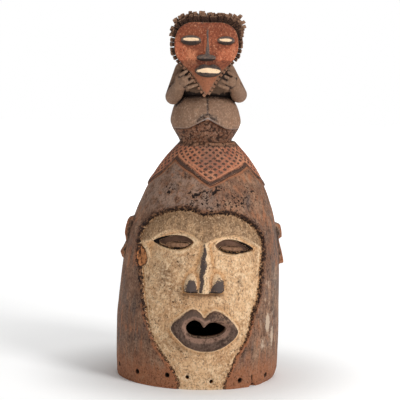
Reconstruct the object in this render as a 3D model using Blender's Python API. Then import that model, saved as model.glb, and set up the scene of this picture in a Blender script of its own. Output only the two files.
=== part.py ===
"""Helmet mask with a crouching figure as its crest, in metres, +Z up, the face looking along -Y.

The mask and its figure are one block of carved wood, open below for the wearer's head.
The only other piece is the cut fringe that rings the figure's heart-shaped face.
The origin is under the middle of the whole mask, on the surface that it stands on.
"""
import math

import bmesh
import bpy
import numpy as np

# Driving sizes of the helmet
HELMET_WIDTH = 0.248
HELMET_DEPTH = 0.254
HELMET_HEIGHT = 0.357
WALL = 0.014
CROWN_THICKNESS = 0.052
LEAN = 0.0088

# Driving sizes of the carved face, the collar, the ears and the holes
FACE_SINK = 0.0045
NOSE_HEIGHT = 0.021
LIP_HEIGHT = 0.013
COLLAR_STEP = 0.0028
EAR_STAND = 0.0084
LEFT_EAR_TOP = 0.236
RIGHT_EAR_TOP = 0.233
LACE_HOLE_DIAMETER = 0.006
MOUTH_CLEARANCE = 0.02

# Driving sizes of the crest figure and its fringe
FIGURE_HEIGHT = 0.180
FIGURE_WIDTH = 0.119
FIGURE_OFFSET = 0.0048
FIGURE_LEAN = 0.009
PLATE_THICKNESS = 0.013
PLATE_SWELL = 0.0075
FRINGE_GAP = 0.0004
FRINGE_SETBACK = 0.0013
STRIP_THICKNESS = 0.0022
STRIP_WIDTH = 0.008
TAB_WIDTH = 0.0051
TAB_GAP = 0.0009
TAB_LENGTH = 0.0128
NUB_LENGTH = 0.0032
LIFTED_LENGTH = 0.006
JAW_NUB_LENGTH = 0.0013
TAB_UNEVENNESS = 0.14

# How finely the block is worked
CARVING_GRAIN = 0.0016
BLOCK_TRIANGLES = 6200

# Half width of the helmet as a share of half its full width, against height as a share of its height
PROFILE = [(-0.05, 0.984), (0.0, 0.985), (0.08, 0.996), (0.19, 1.0), (0.38, 0.978), (0.50, 0.955),
           (0.66, 0.872), (0.77, 0.762), (0.86, 0.636), (0.93, 0.500), (1.0, 0.322), (1.03, 0.25)]

# Carved outlines, seen from the front: sideways and upwards, in thousandths of the helmet's height
FACE_OUTLINE = [(-1, 720), (-49, 736), (-125, 732), (-205, 696), (-253, 635), (-265, 574), (-257, 475),
                (-243, 345), (-223, 250), (-194, 183), (-137, 103), (-99, 38), (-79, -32), (73, -29),
                (107, 47), (145, 135), (191, 212), (209, 294), (237, 375), (248, 485), (254, 565), (242, 625),
                (201, 676), (135, 715), (69, 726)]
LEFT_EYE = [(-205, 595), (-163, 619), (-110, 629), (-68, 621), (-46, 603), (-68, 584), (-109, 572),
            (-157, 577)]
RIGHT_EYE = [(48, 591), (77, 611), (115, 616), (168, 600), (211, 570), (168, 561), (120, 558), (76, 569)]
LIPS_OUTLINE = [(-132, 257), (-90, 304), (-47, 335), (-17, 326), (5, 303), (29, 323), (56, 329), (106, 300),
                (145, 243), (102, 192), (49, 167), (9, 163), (-34, 170), (-78, 192)]
MOUTH_OUTLINE = [(-69, 259), (-60, 281), (-35, 293), (-12, 284), (3, 264), (20, 280), (47, 285), (79, 273),
                 (95, 256), (66, 230), (5, 220), (-50, 228)]
BROW = [(-282, 584), (-223, 601), (-181, 630), (-111, 654), (-53, 640), (-21, 617), (1, 606), (21, 614),
        (69, 630), (132, 637), (197, 608), (258, 571)]

# The lacing holes: angle from the front in degrees, and height above the rim
LACE_HOLES = [(-75, 0.0185), (-49, 0.018), (-24, 0.020), (-10, 0.0185), (7, 0.0125), (28, 0.0125),
              (54, 0.013), (80, 0.014), (106, 0.015), (132, 0.014), (158, 0.016), (-175, 0.017),
              (-149, 0.018), (-123, 0.019), (-99, 0.018)]

# The collar's zigzag edge: angle from the front in degrees, height as a share of the helmet's
COLLAR_EDGE = [(-180, 0.835), (-150, 0.882), (-126, 0.925), (-115, 0.866), (-90, 0.812), (-64, 0.870),
               (-53, 0.932), (-20, 0.882), (0, 0.832), (21, 0.870), (55, 0.908), (65, 0.860), (90, 0.812),
               (115, 0.866), (126, 0.925), (150, 0.882), (180, 0.835)]

# How far the ears stand out, as a share, against height from their tops in thousandths of the helmet's height
LEFT_EAR = [(-166, 0), (-160, 0.35), (-140, 0.80), (-120, 0.45), (-94, 0.18), (-76, 0.45), (-58, 0.85),
            (-30, 1), (-4, 0.95), (6, 0.75), (12, 0)]
RIGHT_EAR = [(-170, 0), (-166, 0.85), (-150, 0.80), (-110, 0.55), (-72, 0.30), (-64, 0.32), (-56, 0.90),
             (-30, 1), (-5, 0.95), (4, 0)]

# Where the front edge of the figure's face lies, in thousandths of the figure's height from its middle
PLATE_FRONT = -320

# The height from which the figure's head stands straight, in the same measure
HEAD_LEVEL = 720

# The width in thousandths of the height at which the figure's own measures are neither stretched nor pressed
FIGURE_SPAN = 661

# The figure's heart-shaped face, in thousandths of the figure's height: fuller on the left
HEART = [(0, 992), (120, 994), (186, 972), (234, 926), (258, 850), (256, 765), (226, 695), (176, 640),
         (132, 590), (86, 525), (48, 460), (18, 412), (4, 400), (-10, 412), (-46, 461), (-92, 527),
         (-142, 590), (-194, 643), (-242, 700), (-264, 768), (-264, 850), (-238, 928), (-186, 974),
         (-120, 994)]


def smooth_curve(points, at):
    """Values at the given positions of a curve through the points that never overshoots them."""
    p = np.array(points, float)
    steps = np.diff(p[:, 0])
    slopes = np.diff(p[:, 1]) / steps
    same_way = slopes[:-1] * slopes[1:] > 0
    inner = np.zeros(len(slopes) - 1)
    inner[same_way] = 2 / (1 / slopes[:-1][same_way] + 1 / slopes[1:][same_way])
    tangent = np.concatenate([slopes[:1], inner, slopes[-1:]])
    at = np.clip(at, p[0, 0], p[-1, 0])
    i = np.clip(np.searchsorted(p[:, 0], at, side="right") - 1, 0, len(steps) - 1)
    t = (at - p[i, 0]) / steps[i]
    return ((1 + 2 * t) * (1 - t) ** 2 * p[i, 1] + t * (1 - t) ** 2 * steps[i] * tangent[i]
            + t * t * (3 - 2 * t) * p[i + 1, 1] + t * t * (t - 1) * steps[i] * tangent[i + 1])


def closed_outline(points, scale, spans=5):
    """A smooth closed line through the points, each given in thousandths of the scale."""
    p = np.array(points, float) * scale / 1000
    before, after, beyond = np.roll(p, 1, 0), np.roll(p, -1, 0), np.roll(p, -2, 0)
    t = (np.arange(spans) / spans)[None, :, None]
    a, b, c, d = (q[:, None, :] for q in (before, p, after, beyond))
    bend, twist = 2 * a - 5 * b + 4 * c - d, 3 * b - a - 3 * c + d
    return (0.5 * (2 * b + (c - a) * t + bend * t ** 2 + twist * t ** 3)).reshape(-1, 2)


def inside_distance(x, z, outline):
    """Distance to a closed outline, positive inside it."""
    nearest = np.full(x.shape, 1e9)
    inside = np.zeros(x.shape, bool)
    for (x0, z0), (x1, z1) in zip(outline, np.roll(outline, -1, 0)):
        dx, dz = x1 - x0, z1 - z0
        t = np.clip(((x - x0) * dx + (z - z0) * dz) / (dx * dx + dz * dz), 0, 1)
        nearest = np.minimum(nearest, (x - x0 - t * dx) ** 2 + (z - z0 - t * dz) ** 2)
        if abs(dz) > 1e-12:
            inside ^= ((z0 > z) != (z1 > z)) & (x < x0 + (z - z0) * dx / dz)
    return np.sqrt(nearest) * np.where(inside, 1, -1)


def ramp(value, low, high):
    """0 below low, 1 above high, and smooth between."""
    t = np.clip((value - low) / (high - low), 0, 1)
    return t * t * (3 - 2 * t)


def bump(x, z, middle_x, middle_z, wide, high):
    """A round swelling of height 1."""
    return np.exp(-((x - middle_x) / wide) ** 2 - ((z - middle_z) / high) ** 2)


def half_width(z):
    """Half the helmet's width at a height."""
    return HELMET_WIDTH / 2 * smooth_curve(PROFILE, z / HELMET_HEIGHT)


def axis_x(z):
    """The helmet leans to one side as it rises, as the carver left it."""
    return LEAN * ramp(z, 0.2 * HELMET_HEIGHT, 0.95 * HELMET_HEIGHT)


def collar_height(angle, z):
    """How far the netted collar stands off the dome: a raised border along its edge, and a field above it."""
    edge = np.interp(np.degrees(angle), *np.array(COLLAR_EDGE).T) * HELMET_HEIGHT
    above = (z - edge) * 1.05
    border = ramp(above, 0, 0.0015) * (1 - 0.35 * ramp(above, 0.005, 0.007))
    return COLLAR_STEP * border


def ear_height(angle, z):
    """Two ears in relief at the sides: each a ridge round a shallow hollow, with its lobe cut off below."""
    back = -np.cos(angle) * half_width(z) * HELMET_DEPTH / HELMET_WIDTH / HELMET_HEIGHT
    lift = 0
    for side, top, edge in ((-1, LEFT_EAR_TOP, LEFT_EAR), (1, RIGHT_EAR_TOP, RIGHT_EAR)):
        up = (z - top) / HELMET_HEIGHT
        stand = np.interp(up * 1000, *np.array(edge, float).T)
        hollow = ramp(1 - np.hypot((back - 0.008) / 0.020, (up + 0.045) / 0.040), 0, 0.5)
        within = ramp(back, -0.031, -0.025) * ramp(-back, -0.046, -0.038) * (side * np.sin(angle) > 0)
        lift = lift + EAR_STAND * stand * within * (1 - 0.6 * hollow)
    return lift


def nose_height(x, z, h):
    """A thin bridge that spreads into two round wings and stops at a flat base."""
    down = np.clip((0.625 * h - z) / (0.225 * h), 0, 1)
    middle = 0.001 * h + 0.03 * (z - 0.4 * h)
    ridge = np.clip(1 - np.abs(x - middle) / ((0.016 + 0.052 * down ** 1.6) * h), 0, 1) ** 0.8
    ridge = ridge * (0.24 + 0.76 * down)
    wings = 0
    for out in (-0.051, 0.049):
        across, up = (x - middle - out * h) / (0.031 * h), (z - 0.430 * h) / (0.052 * h)
        wings = np.maximum(wings, 0.80 * np.sqrt(np.clip(1 - across ** 2 - up ** 2, 0, 1)))
    base = ramp(z, 0.402 * h, 0.406 * h) * ramp(0.64 * h - z, 0, 0.04 * h)
    return NOSE_HEIGHT * np.maximum(ridge, wings) * base


def face_height(x, z):
    """How far the carved face stands off the helmet's plain surface, as seen from the front."""
    h = HELMET_HEIGHT
    inside = inside_distance(x, z, closed_outline(FACE_OUTLINE, h))
    sunk = FACE_SINK * (0.3 + 0.7 * ramp(z, 0.05 * h, 0.45 * h))
    height = -sunk * ramp(inside, -0.001, 0.003)
    on_face = ramp(inside, 0, 0.012)

    below_brow = smooth_curve(np.array(BROW) * h / 1000, x) - z
    side = 1 - 0.75 * bump(x, z, 0.0, 0.58 * h, 0.05 * h, 0.2 * h)
    fading = np.exp(-(np.maximum(below_brow, 0) / (0.10 * h)) ** 1.6)
    socket = ramp(below_brow, -0.0015, 0.004) * fading * side
    forehead = ramp(-below_brow, 0, 0.006) * ramp(inside, 0.002, 0.02)
    cheeks = sum(bump(x, z, out * h, up * h, 0.10 * h, 0.12 * h) for out, up in ((-0.15, 0.42), (0.15, 0.41)))
    muzzle = bump(x, z, 0.007 * h, 0.25 * h, 0.15 * h, 0.10 * h)
    height = height + on_face * WALL * (0.16 * forehead - 0.38 * socket + 0.10 * cheeks + 0.36 * muzzle)

    for outline, lid_x, lid_z, tilt in ((LEFT_EYE, -0.118, 0.593, 0.04), (RIGHT_EYE, 0.126, 0.579, -0.10)):
        almond = inside_distance(x, z, closed_outline(outline, h))
        across = (x - lid_x * h) / (0.062 * h)
        up = (z - lid_z * h - tilt * (x - lid_x * h)) / (0.017 * h)
        lid = np.sqrt(np.clip(1 - across ** 2 - up ** 2, 0, 1))
        height = height + WALL * (-0.34 * ramp(almond, -0.0003, 0.002) + 0.36 * lid)

    height = height + nose_height(x, z, h)

    lips = inside_distance(x, z, closed_outline(LIPS_OUTLINE, h))
    mouth = inside_distance(x, z, closed_outline(MOUTH_OUTLINE, h))
    inward = np.clip(lips, 0, None)
    inward = inward / np.maximum(inward + np.clip(-mouth, 0, None), 1e-6)
    roll = np.interp(inward, [0, 0.12, 0.45, 0.62, 1], [0.35, 0.72, 1.0, 0.92, 0.30])
    return height + LIP_HEIGHT * roll * ramp(lips, -0.0006, 0.0012)


def closed_surface(name, rows):
    """A closed mesh from rings of points, each end drawn together to a point."""
    count, around = rows.shape[:2]
    points = np.vstack([rows.reshape(-1, 3), rows[0].mean(0), rows[-1].mean(0)])
    i = np.arange(around)
    j = (i + 1) % around
    bands = np.arange(count - 1)[:, None] * around
    quads = np.stack([bands + i, bands + j, bands + around + j, bands + around + i], -1).reshape(-1, 4)
    first, last = count * around, (count - 1) * around
    faces = quads.tolist() + [(first, b, a) for a, b in zip(i, j)]
    faces += [(first + 1, last + a, last + b) for a, b in zip(i, j)]
    mesh = bpy.data.meshes.new(name)
    mesh.from_pydata(points.tolist(), [], faces)
    piece = bpy.data.objects.new(name, mesh)
    bpy.context.collection.objects.link(piece)
    work = bmesh.new()
    work.from_mesh(mesh)
    bmesh.ops.recalc_face_normals(work, faces=work.faces)
    work.to_mesh(mesh)
    work.free()
    return piece


def helmet_shell():
    """The hollow bell: the carved outside from crown to rim, then the plain inside back up to its crown."""
    angle = np.radians(np.arange(-180, 180, 0.8))
    below = -0.02 * HELMET_HEIGHT
    outer_z = np.linspace(1.0, below / HELMET_HEIGHT, 240) * HELMET_HEIGHT
    hollow_top = HELMET_HEIGHT - CROWN_THICKNESS
    inner_z = np.concatenate([[below], hollow_top * np.sin(np.linspace(0, math.pi / 2, 30))[1:-1]])
    deep = HELMET_DEPTH / HELMET_WIDTH

    a, z = np.meshgrid(angle, outer_z)
    wide = half_width(z)
    x, y = wide * np.sin(a), -wide * deep * np.cos(a)
    lift = collar_height(a, z) + ear_height(a, z)
    lift = lift + np.where(np.cos(a) > 0, face_height(x + axis_x(z), z), 0)
    outer = np.stack([x + axis_x(z) + lift * np.sin(a), y - lift * np.cos(a), z], -1)

    a, z = np.meshgrid(angle, inner_z)
    rounding = np.sqrt(1 - np.clip(z / hollow_top, 0, 1) ** 8)
    wide = (half_width(z) - WALL) * rounding
    long = (half_width(z) * deep - WALL) * rounding
    inner = np.stack([axis_x(z) + wide * np.sin(a), -long * np.cos(a), z], -1)
    return closed_surface("shell", np.concatenate([outer, inner]))


def ring(x, y, z, wide, deep, power=2.0, around=48):
    """One level ring of a body: an ellipse, or squarer as the power rises."""
    t = np.linspace(0, 2 * math.pi, around, endpoint=False)
    c, s = np.cos(t), np.sin(t)
    return np.stack([x + wide * np.sign(c) * np.abs(c) ** (2 / power),
                     y + deep * np.sign(s) * np.abs(s) ** (2 / power), np.full(around, z)], -1)


def tube(name, path, radii, flat=1.0, around=20):
    """A round limb along a path, with a radius at each of its points and rounded ends."""
    path, radii = np.array(path, float), np.array(radii, float)
    ends = []
    for end, beside, radius in ((path[0], path[1], radii[0]), (path[-1], path[-2], radii[-1])):
        out = (end - beside) / np.linalg.norm(end - beside)
        ends.append([(end + out * radius * math.sin(q), radius * math.cos(q)) for q in (1.3, 0.9, 0.45)])
    line = [p for p, _ in ends[0]] + list(path) + [p for p, _ in ends[1][::-1]]
    size = [r for _, r in ends[0]] + list(radii) + [r for _, r in ends[1][::-1]]
    line, size = np.array(line), np.array(size)
    along = np.gradient(line, axis=0)
    along /= np.linalg.norm(along, axis=1)[:, None]
    side = np.cross(along, [0.0, 1.0, 0.02])
    side /= np.linalg.norm(side, axis=1)[:, None]
    over = np.cross(side, along)
    t = np.linspace(0, 2 * math.pi, around, endpoint=False)[None, :, None]
    turned = np.cos(t) * side[:, None] + flat * np.sin(t) * over[:, None]
    rows = line[:, None] + size[:, None, None] * turned
    return closed_surface(name, rows)


def ball(name, middle, radii):
    """An ellipsoid."""
    t = np.linspace(0.12, math.pi - 0.12, 16)
    rows = [ring(middle[0], middle[1], middle[2] + radii[2] * math.cos(q), radii[0] * math.sin(q),
                 radii[1] * math.sin(q), around=28) for q in t]
    return closed_surface(name, np.array(rows))


def figure_stretch():
    """How much the figure is widened or narrowed from its own proportions."""
    return FIGURE_WIDTH / FIGURE_HEIGHT * 1000 / FIGURE_SPAN


def figure_axis(z):
    """How far to one side the figure's middle lies, as it leans a little on its way up to the head."""
    return FIGURE_OFFSET - FIGURE_LEAN * (min(z, HEAD_LEVEL) / 1000) ** 2


def figure_point(x, y, z):
    """A place on the figure, in thousandths of its height sideways, backwards and upwards from its base."""
    s = FIGURE_HEIGHT / 1000
    wide = figure_stretch()
    return np.array([figure_axis(z) + x * s * wide, y * s, HELMET_HEIGHT + z * s])


def heart_outline():
    """The edge of the figure's face, seen from the front."""
    outline = closed_outline(HEART, FIGURE_HEIGHT, spans=3) * [figure_stretch(), 1]
    return outline + [figure_axis(HEAD_LEVEL), HELMET_HEIGHT]


def outward(outline):
    """Directions that point out of a closed outline, square to it."""
    step = np.roll(outline, -1, 0) - np.roll(outline, 1, 0)
    step /= np.linalg.norm(step, axis=1)[:, None]
    out = np.stack([step[:, 1], -step[:, 0]], -1)
    middle = outline.mean(0)
    return out * np.sign(np.sum(out * (outline - middle)))


def crouching_body():
    """The figure below its arms: two drawn-up legs with a furrow between, undercut above a round foot."""
    profile = [(-60, 208, 185), (0, 217, 190), (60, 250, 215), (120, 283, 245), (170, 295, 262),
               (240, 282, 262), (300, 262, 242), (345, 234, 212), (385, 190, 168), (415, 130, 115)]
    heights = np.linspace(-60, 420, 90)
    wide = smooth_curve([(z, w) for z, w, _ in profile], heights)
    deep = smooth_curve([(z, d) for z, _, d in profile], heights)
    rows = []
    for z, w, d in zip(heights, wide, deep):
        level = ring(0, 0, z, w, d, power=2.3, around=96)
        x, front = level[:, 0], level[:, 1] < 0
        edge = np.interp(np.abs(x), [0, 155, 200], [202, 116, 110])
        undercut = 40 * (1 - ramp(z - edge, -6, 6)) * ramp(z, -10, 40)
        furrow = 34 * np.exp(-(x / 13) ** 2) * ramp(z - edge, 4, 30)
        level[:, 1] += np.where(front, (undercut + furrow) * ramp(np.abs(level[:, 1]), 0, 120), 0)
        rows.append(np.array([figure_point(*p) for p in level]))
    return closed_surface("body", np.array(rows))


def figure_limbs():
    """Torso, shoulders, arms bent up to the chin, hands with fingers, neck and skull."""
    s = FIGURE_HEIGHT / 1000
    torso = [ring(0, back, z, w, d, power=2.4) for back, z, w, d in
             ((22, 300, 150, 120), (10, 360, 205, 165), (10, 440, 222, 165), (18, 520, 226, 140),
              (16, 580, 226, 118), (8, 630, 196, 104), (0, 675, 150, 92), (-10, 715, 100, 80))]
    forms = [closed_surface("torso", np.array([[figure_point(*p) for p in level] for level in torso]))]
    forms.append(ball("skull", figure_point(0, -128, 772), (212 * s, 190 * s, 205 * s)))
    forms.append(tube("neck", [figure_point(0, 0, 600), figure_point(0, -60, 720)], [105 * s, 105 * s]))
    for side, drop in ((-1, 0), (1, 26)):
        shoulder = figure_point(side * 190, 4, 594)
        elbow = figure_point(side * 274, -95, 372 + drop)
        wrist = figure_point(side * 228, -285, 470)
        knuckles = figure_point(side * 196, -328, 512)
        forms.append(tube("upper_arm", [shoulder, (shoulder + elbow) / 2, elbow], [64 * s, 66 * s, 68 * s]))
        forms.append(tube("forearm", [elbow, (elbow + wrist) / 2, wrist], [68 * s, 62 * s, 50 * s]))
        forms.append(tube("hand", [wrist, knuckles], [50 * s, 44 * s], flat=0.7))
        forms.append(ball("palm", figure_point(side * 220, -306, 512), (50 * s, 34 * s, 66 * s)))
        forms.append(tube("heel", [wrist, figure_point(side * 150, -265, 432)], [44 * s, 30 * s]))
        for finger in range(4):
            root = figure_point(side * (222 - 20 * finger), -336, 560 - 34 * finger)
            tip = figure_point(side * (172 - 27 * finger), -340, 592 - 36 * finger)
            forms.append(tube("finger", [root, (root + tip) / 2, tip], [17 * s, 16 * s, 13 * s], around=12))
    return forms


def plate_relief(x, z):
    """The small face's features: lidded eyes, a thin nose with a wide base, and full lips."""
    s = FIGURE_HEIGHT / 1000
    x = (x - figure_axis(HEAD_LEVEL)) / figure_stretch() / s
    z = (z - HELMET_HEIGHT) / s
    eyes = sum(np.sqrt(np.clip(1 - ((x - middle) / wide) ** 2 - ((z - 846) / 42) ** 2, 0, 1))
               for middle, wide in ((-133, 86), (154, 74)))
    bridge = bump(x, z, 0, 800, 22, 110) * 0.7
    base = np.sqrt(np.clip(1 - ((x + 6) / 82) ** 2 - ((z - 706) / 27) ** 2, 0, 1)) * 1.35
    lips = np.sqrt(np.clip(1 - ((x - 15) / 113) ** 2 - ((z - 598) / 54) ** 2, 0, 1)) * 1.1
    slit = np.clip(1 - ((x - 18) / 100) ** 2 - ((z - 600) / 18) ** 2, 0, 1) * 0.5
    hollow = bump(x, z, -140, 780, 110, 60) + bump(x, z, 140, 780, 110, 60)
    return 26 * s * (np.maximum(np.maximum(eyes, base), np.maximum(bridge, lips - slit)) - 0.25 * hollow)


def face_plate():
    """The heart-shaped face: a slab with a low swell in front, carrying the features."""
    outline = heart_outline()
    middle = np.array([figure_axis(HEAD_LEVEL), figure_point(0, 0, 720)[2]])
    front = figure_point(0, PLATE_FRONT, 0)[1]
    shares = np.concatenate([np.linspace(0.02, 0.97, 44), [1.0]])
    rows = []
    for share in shares:
        flat = middle + (outline - middle) * share
        relief = plate_relief(flat[:, 0], flat[:, 1]) * ramp(1 - share, 0, 0.1)
        y = front - PLATE_SWELL * (1 - share ** 2) - relief
        rows.append(np.stack([flat[:, 0], y, flat[:, 1]], -1))
    for share in (1.0, 0.92, 0.6, 0.2):
        flat = middle + (outline - middle) * share
        rows.append(np.stack([flat[:, 0], np.full(len(flat), front + PLATE_THICKNESS), flat[:, 1]], -1))
    return closed_surface("plate", np.array(rows))


def shaped(piece):
    """The piece's mesh with its modifiers carried out."""
    depsgraph = bpy.context.evaluated_depsgraph_get()
    return bpy.data.meshes.new_from_object(piece.evaluated_get(depsgraph))


def fuse(name, forms):
    """One closed solid from forms that run into each other, thinned to the triangles that it may have."""
    work = bmesh.new()
    for form in forms:
        work.from_mesh(form.data)
        bpy.data.objects.remove(form)
    mesh = bpy.data.meshes.new(name)
    work.to_mesh(mesh)
    work.free()
    block = bpy.data.objects.new(name, mesh)
    bpy.context.collection.objects.link(block)
    remesh = block.modifiers.new("fuse", "REMESH")
    remesh.mode = "VOXEL"
    remesh.voxel_size = CARVING_GRAIN
    block.data = shaped(block)
    block.modifiers.clear()
    thin = block.modifiers.new("thin", "DECIMATE")
    thin.ratio = BLOCK_TRIANGLES / (2 * len(block.data.polygons))
    block.data = shaped(block)
    block.modifiers.clear()
    return block


def cutter(name, rows):
    """A closed shape that is only cut away from another."""
    piece = closed_surface(name, rows)
    piece.hide_render = True
    piece.display_type = "WIRE"
    return piece


def lace_hole(angle, height):
    """A round hole through the wall just above the rim, square to it, for lacing on a collar of fibre."""
    a = math.radians(angle)
    wide = float(half_width(np.array(height)))
    deep = wide * HELMET_DEPTH / HELMET_WIDTH
    on_wall = np.array([wide * math.sin(a), -deep * math.cos(a), height])
    out = np.array([math.sin(a) / wide, -math.cos(a) / deep, 0])
    out /= np.linalg.norm(out)
    level = np.array([-out[1], out[0], 0])
    t = np.radians(np.arange(18, 378, 36))[:, None]
    circle = LACE_HOLE_DIAMETER / 2 * (np.cos(t) * level + np.sin(t) * np.array([0, 0, 1]))
    rows = [on_wall + out * reach + circle for reach in (-2 * WALL, 2 * WALL)]
    return cutter(f"lace_hole_{angle:+.0f}", np.array(rows))


def mouth_hole():
    """The pierced mouth, cut straight back through lips and wall."""
    outline = closed_outline(MOUTH_OUTLINE, HELMET_HEIGHT, spans=3)
    front = -HELMET_DEPTH / 2 - LIP_HEIGHT - MOUTH_CLEARANCE
    back = -HELMET_DEPTH / 2 + WALL + MOUTH_CLEARANCE
    rows = [np.stack([outline[:, 0], np.full(len(outline), y), outline[:, 1]], -1) for y in (front, back)]
    return cutter("mouth_hole", np.array(rows))


def floor_cut():
    """Everything below the rim, so that the mask stands on a flat edge."""
    far = HELMET_WIDTH + HELMET_DEPTH
    corners = np.array([[-far, -far], [far, -far], [far, far], [-far, far]])
    rows = [np.column_stack([corners, np.full(4, z)]) for z in (-0.1 * HELMET_HEIGHT, 0.0)]
    return cutter("floor_cut", np.array(rows))


def cut(block, *tools):
    """Takes the tools' shapes out of the block."""
    for tool in tools:
        boolean = block.modifiers.new(tool.name, "BOOLEAN")
        boolean.operation = "DIFFERENCE"
        boolean.object = tool


def tab_reach(points):
    """How far the tabs stand out at places of the face's edge: long on top, mere nubs along the jaw."""
    high = (points[:, 1] - HELMET_HEIGHT) / FIGURE_HEIGHT
    nub = JAW_NUB_LENGTH + (NUB_LENGTH - JAW_NUB_LENGTH) * ramp(high, 0.66, 0.74)
    return nub + (TAB_LENGTH - NUB_LENGTH) * ramp(high, 0.84, 0.97)


def fringe_band(name, inner, outer, spare=0.0):
    """A closed band between two lines round the face, from behind its front edge to the strip's back edge."""
    front = figure_point(0, PLATE_FRONT, 0)[1] + FRINGE_SETBACK
    near, far = front - spare, front + STRIP_WIDTH + spare
    work = bmesh.new()
    rings = [[work.verts.new((x, y, z)) for x, z in line]
             for line, y in ((inner, near), (outer, near), (outer, far), (inner, far))]
    for corner, beside in zip(rings, rings[1:] + rings[:1]):
        for i in range(len(corner)):
            work.faces.new((corner[i - 1], corner[i], beside[i], beside[i - 1]))
    bmesh.ops.recalc_face_normals(work, faces=work.faces)
    mesh = bpy.data.meshes.new(name)
    work.to_mesh(mesh)
    work.free()
    band = bpy.data.objects.new(name, mesh)
    bpy.context.collection.objects.link(band)
    return band


def fringe_seat():
    """What is cut away round the face for the fringe, with a gap on every side of it."""
    outline = heart_outline()
    out = outward(outline)
    reach = STRIP_THICKNESS + tab_reach(outline) * (1 + TAB_UNEVENNESS)
    inner, outer = outline - out * FRINGE_GAP, outline + out * (reach + FRINGE_GAP)[:, None]
    seat = fringe_band("fringe_seat", inner, outer, FRINGE_GAP)
    seat.hide_render = True
    seat.display_type = "WIRE"
    return seat


def fringe():
    """The cut fringe round the figure's face: a strip that steps out into tabs, with a gap at the chin."""
    outline = heart_outline()
    loop = np.vstack([outline, outline[:1]])
    ways = outward(outline)
    ways = np.vstack([ways, ways[:1]])
    along = np.concatenate([[0], np.cumsum(np.linalg.norm(np.diff(loop, axis=0), axis=1))])
    count = round(along[-1] / (TAB_WIDTH + TAB_GAP))
    number = np.repeat(np.arange(count), 4)
    corner = np.tile([-1.0, -0.85, 0.85, 1.0], count)
    raised = np.tile([0, 1, 1, 0], count)

    chin = along[np.argmin(loop[:, 1])]
    at = (chin + (number + 0.5) / count * along[-1] + corner * TAB_WIDTH / 2) % along[-1]
    points = np.stack([np.interp(at, along, loop[:, k]) for k in (0, 1)], -1)
    out = np.stack([np.interp(at, along, ways[:, k]) for k in (0, 1)], -1)
    out /= np.linalg.norm(out, axis=1)[:, None]
    lifted = LIFTED_LENGTH * ramp(out[:, 0], 0.25, 0.6) * ramp(out[:, 1], 0.3, 0.6)
    length = tab_reach(points) * (1 + TAB_UNEVENNESS * np.sin(2.4 * number)) + lifted
    shift = 0.5 * TAB_GAP * np.sin(1.7 * number) * raised
    sideways = np.stack([-out[:, 1], out[:, 0]], -1) * shift[:, None]
    outer = points + out * (STRIP_THICKNESS + raised * length)[:, None] + sideways
    return fringe_band("head_fringe", points, outer)


def finish(name, colour, roughness):
    """A plain wood or hide finish."""
    material = bpy.data.materials.new(name)
    material.use_nodes = True
    shader = material.node_tree.nodes["Principled BSDF"]
    shader.inputs["Base Color"].default_value = (*colour, 1)
    shader.inputs["Roughness"].default_value = roughness
    shader.inputs["Metallic"].default_value = 0
    return material


def stand_in_the_middle(*pieces):
    """Moves everything sideways so that the middle of the finished pieces' box lies over the origin."""
    depsgraph = bpy.context.evaluated_depsgraph_get()
    points = []
    for piece in pieces:
        mesh = bpy.data.meshes.new_from_object(piece.evaluated_get(depsgraph))
        corners = np.zeros(3 * len(mesh.vertices))
        mesh.vertices.foreach_get("co", corners)
        points.append(corners.reshape(-1, 3))
        bpy.data.meshes.remove(mesh)
    points = np.concatenate(points)
    middle = (points.min(0) + points.max(0)) / 2
    holder = bpy.data.objects.new("mask_holder", None)
    bpy.context.collection.objects.link(holder)
    for piece in list(bpy.data.objects):
        if piece != holder:
            piece.parent = holder
    holder.location = (-middle[0], -middle[1], 0)
    bpy.context.view_layer.update()


def main():
    for old in list(bpy.data.objects):
        bpy.data.objects.remove(old)

    forms = [helmet_shell(), crouching_body(), face_plate(), *figure_limbs()]
    mask = fuse("carved_mask", forms)
    cut(mask, floor_cut(), mouth_hole(), *(lace_hole(*place) for place in LACE_HOLES), fringe_seat())
    mask.data.materials.append(finish("stained_wood", (0.16, 0.095, 0.065), 0.7))

    strip = fringe()
    strip.data.materials.append(finish("cut_hide", (0.10, 0.06, 0.04), 0.8))
    for piece in (mask, strip):
        piece.data.set_sharp_from_angle(angle=math.radians(50))
    stand_in_the_middle(mask, strip)


main()
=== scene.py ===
import math
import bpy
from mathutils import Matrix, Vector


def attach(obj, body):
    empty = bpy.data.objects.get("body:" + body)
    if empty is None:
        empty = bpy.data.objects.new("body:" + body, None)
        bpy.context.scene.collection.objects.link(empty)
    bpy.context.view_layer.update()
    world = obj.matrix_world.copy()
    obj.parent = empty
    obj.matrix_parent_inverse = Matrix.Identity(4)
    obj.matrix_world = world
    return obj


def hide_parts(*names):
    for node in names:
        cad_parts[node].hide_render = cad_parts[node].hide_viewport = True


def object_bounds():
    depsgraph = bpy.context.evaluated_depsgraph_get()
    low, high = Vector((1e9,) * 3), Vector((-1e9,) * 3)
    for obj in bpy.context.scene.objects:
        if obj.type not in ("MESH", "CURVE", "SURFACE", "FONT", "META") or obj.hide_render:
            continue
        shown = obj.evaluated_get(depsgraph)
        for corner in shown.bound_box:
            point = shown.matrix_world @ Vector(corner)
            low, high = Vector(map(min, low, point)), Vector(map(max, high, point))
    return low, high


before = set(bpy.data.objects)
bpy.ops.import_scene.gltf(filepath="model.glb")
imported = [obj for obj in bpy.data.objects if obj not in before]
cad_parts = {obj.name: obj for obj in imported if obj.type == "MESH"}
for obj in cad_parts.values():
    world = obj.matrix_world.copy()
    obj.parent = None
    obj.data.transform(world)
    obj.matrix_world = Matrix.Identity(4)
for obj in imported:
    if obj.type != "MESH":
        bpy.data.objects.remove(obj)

from types import SimpleNamespace

import bpy
import numpy as np
from mathutils import Matrix, Vector

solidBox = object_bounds()
scene = bpy.context.scene
print("frame loaded")


# Small helpers for shapes

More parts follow.
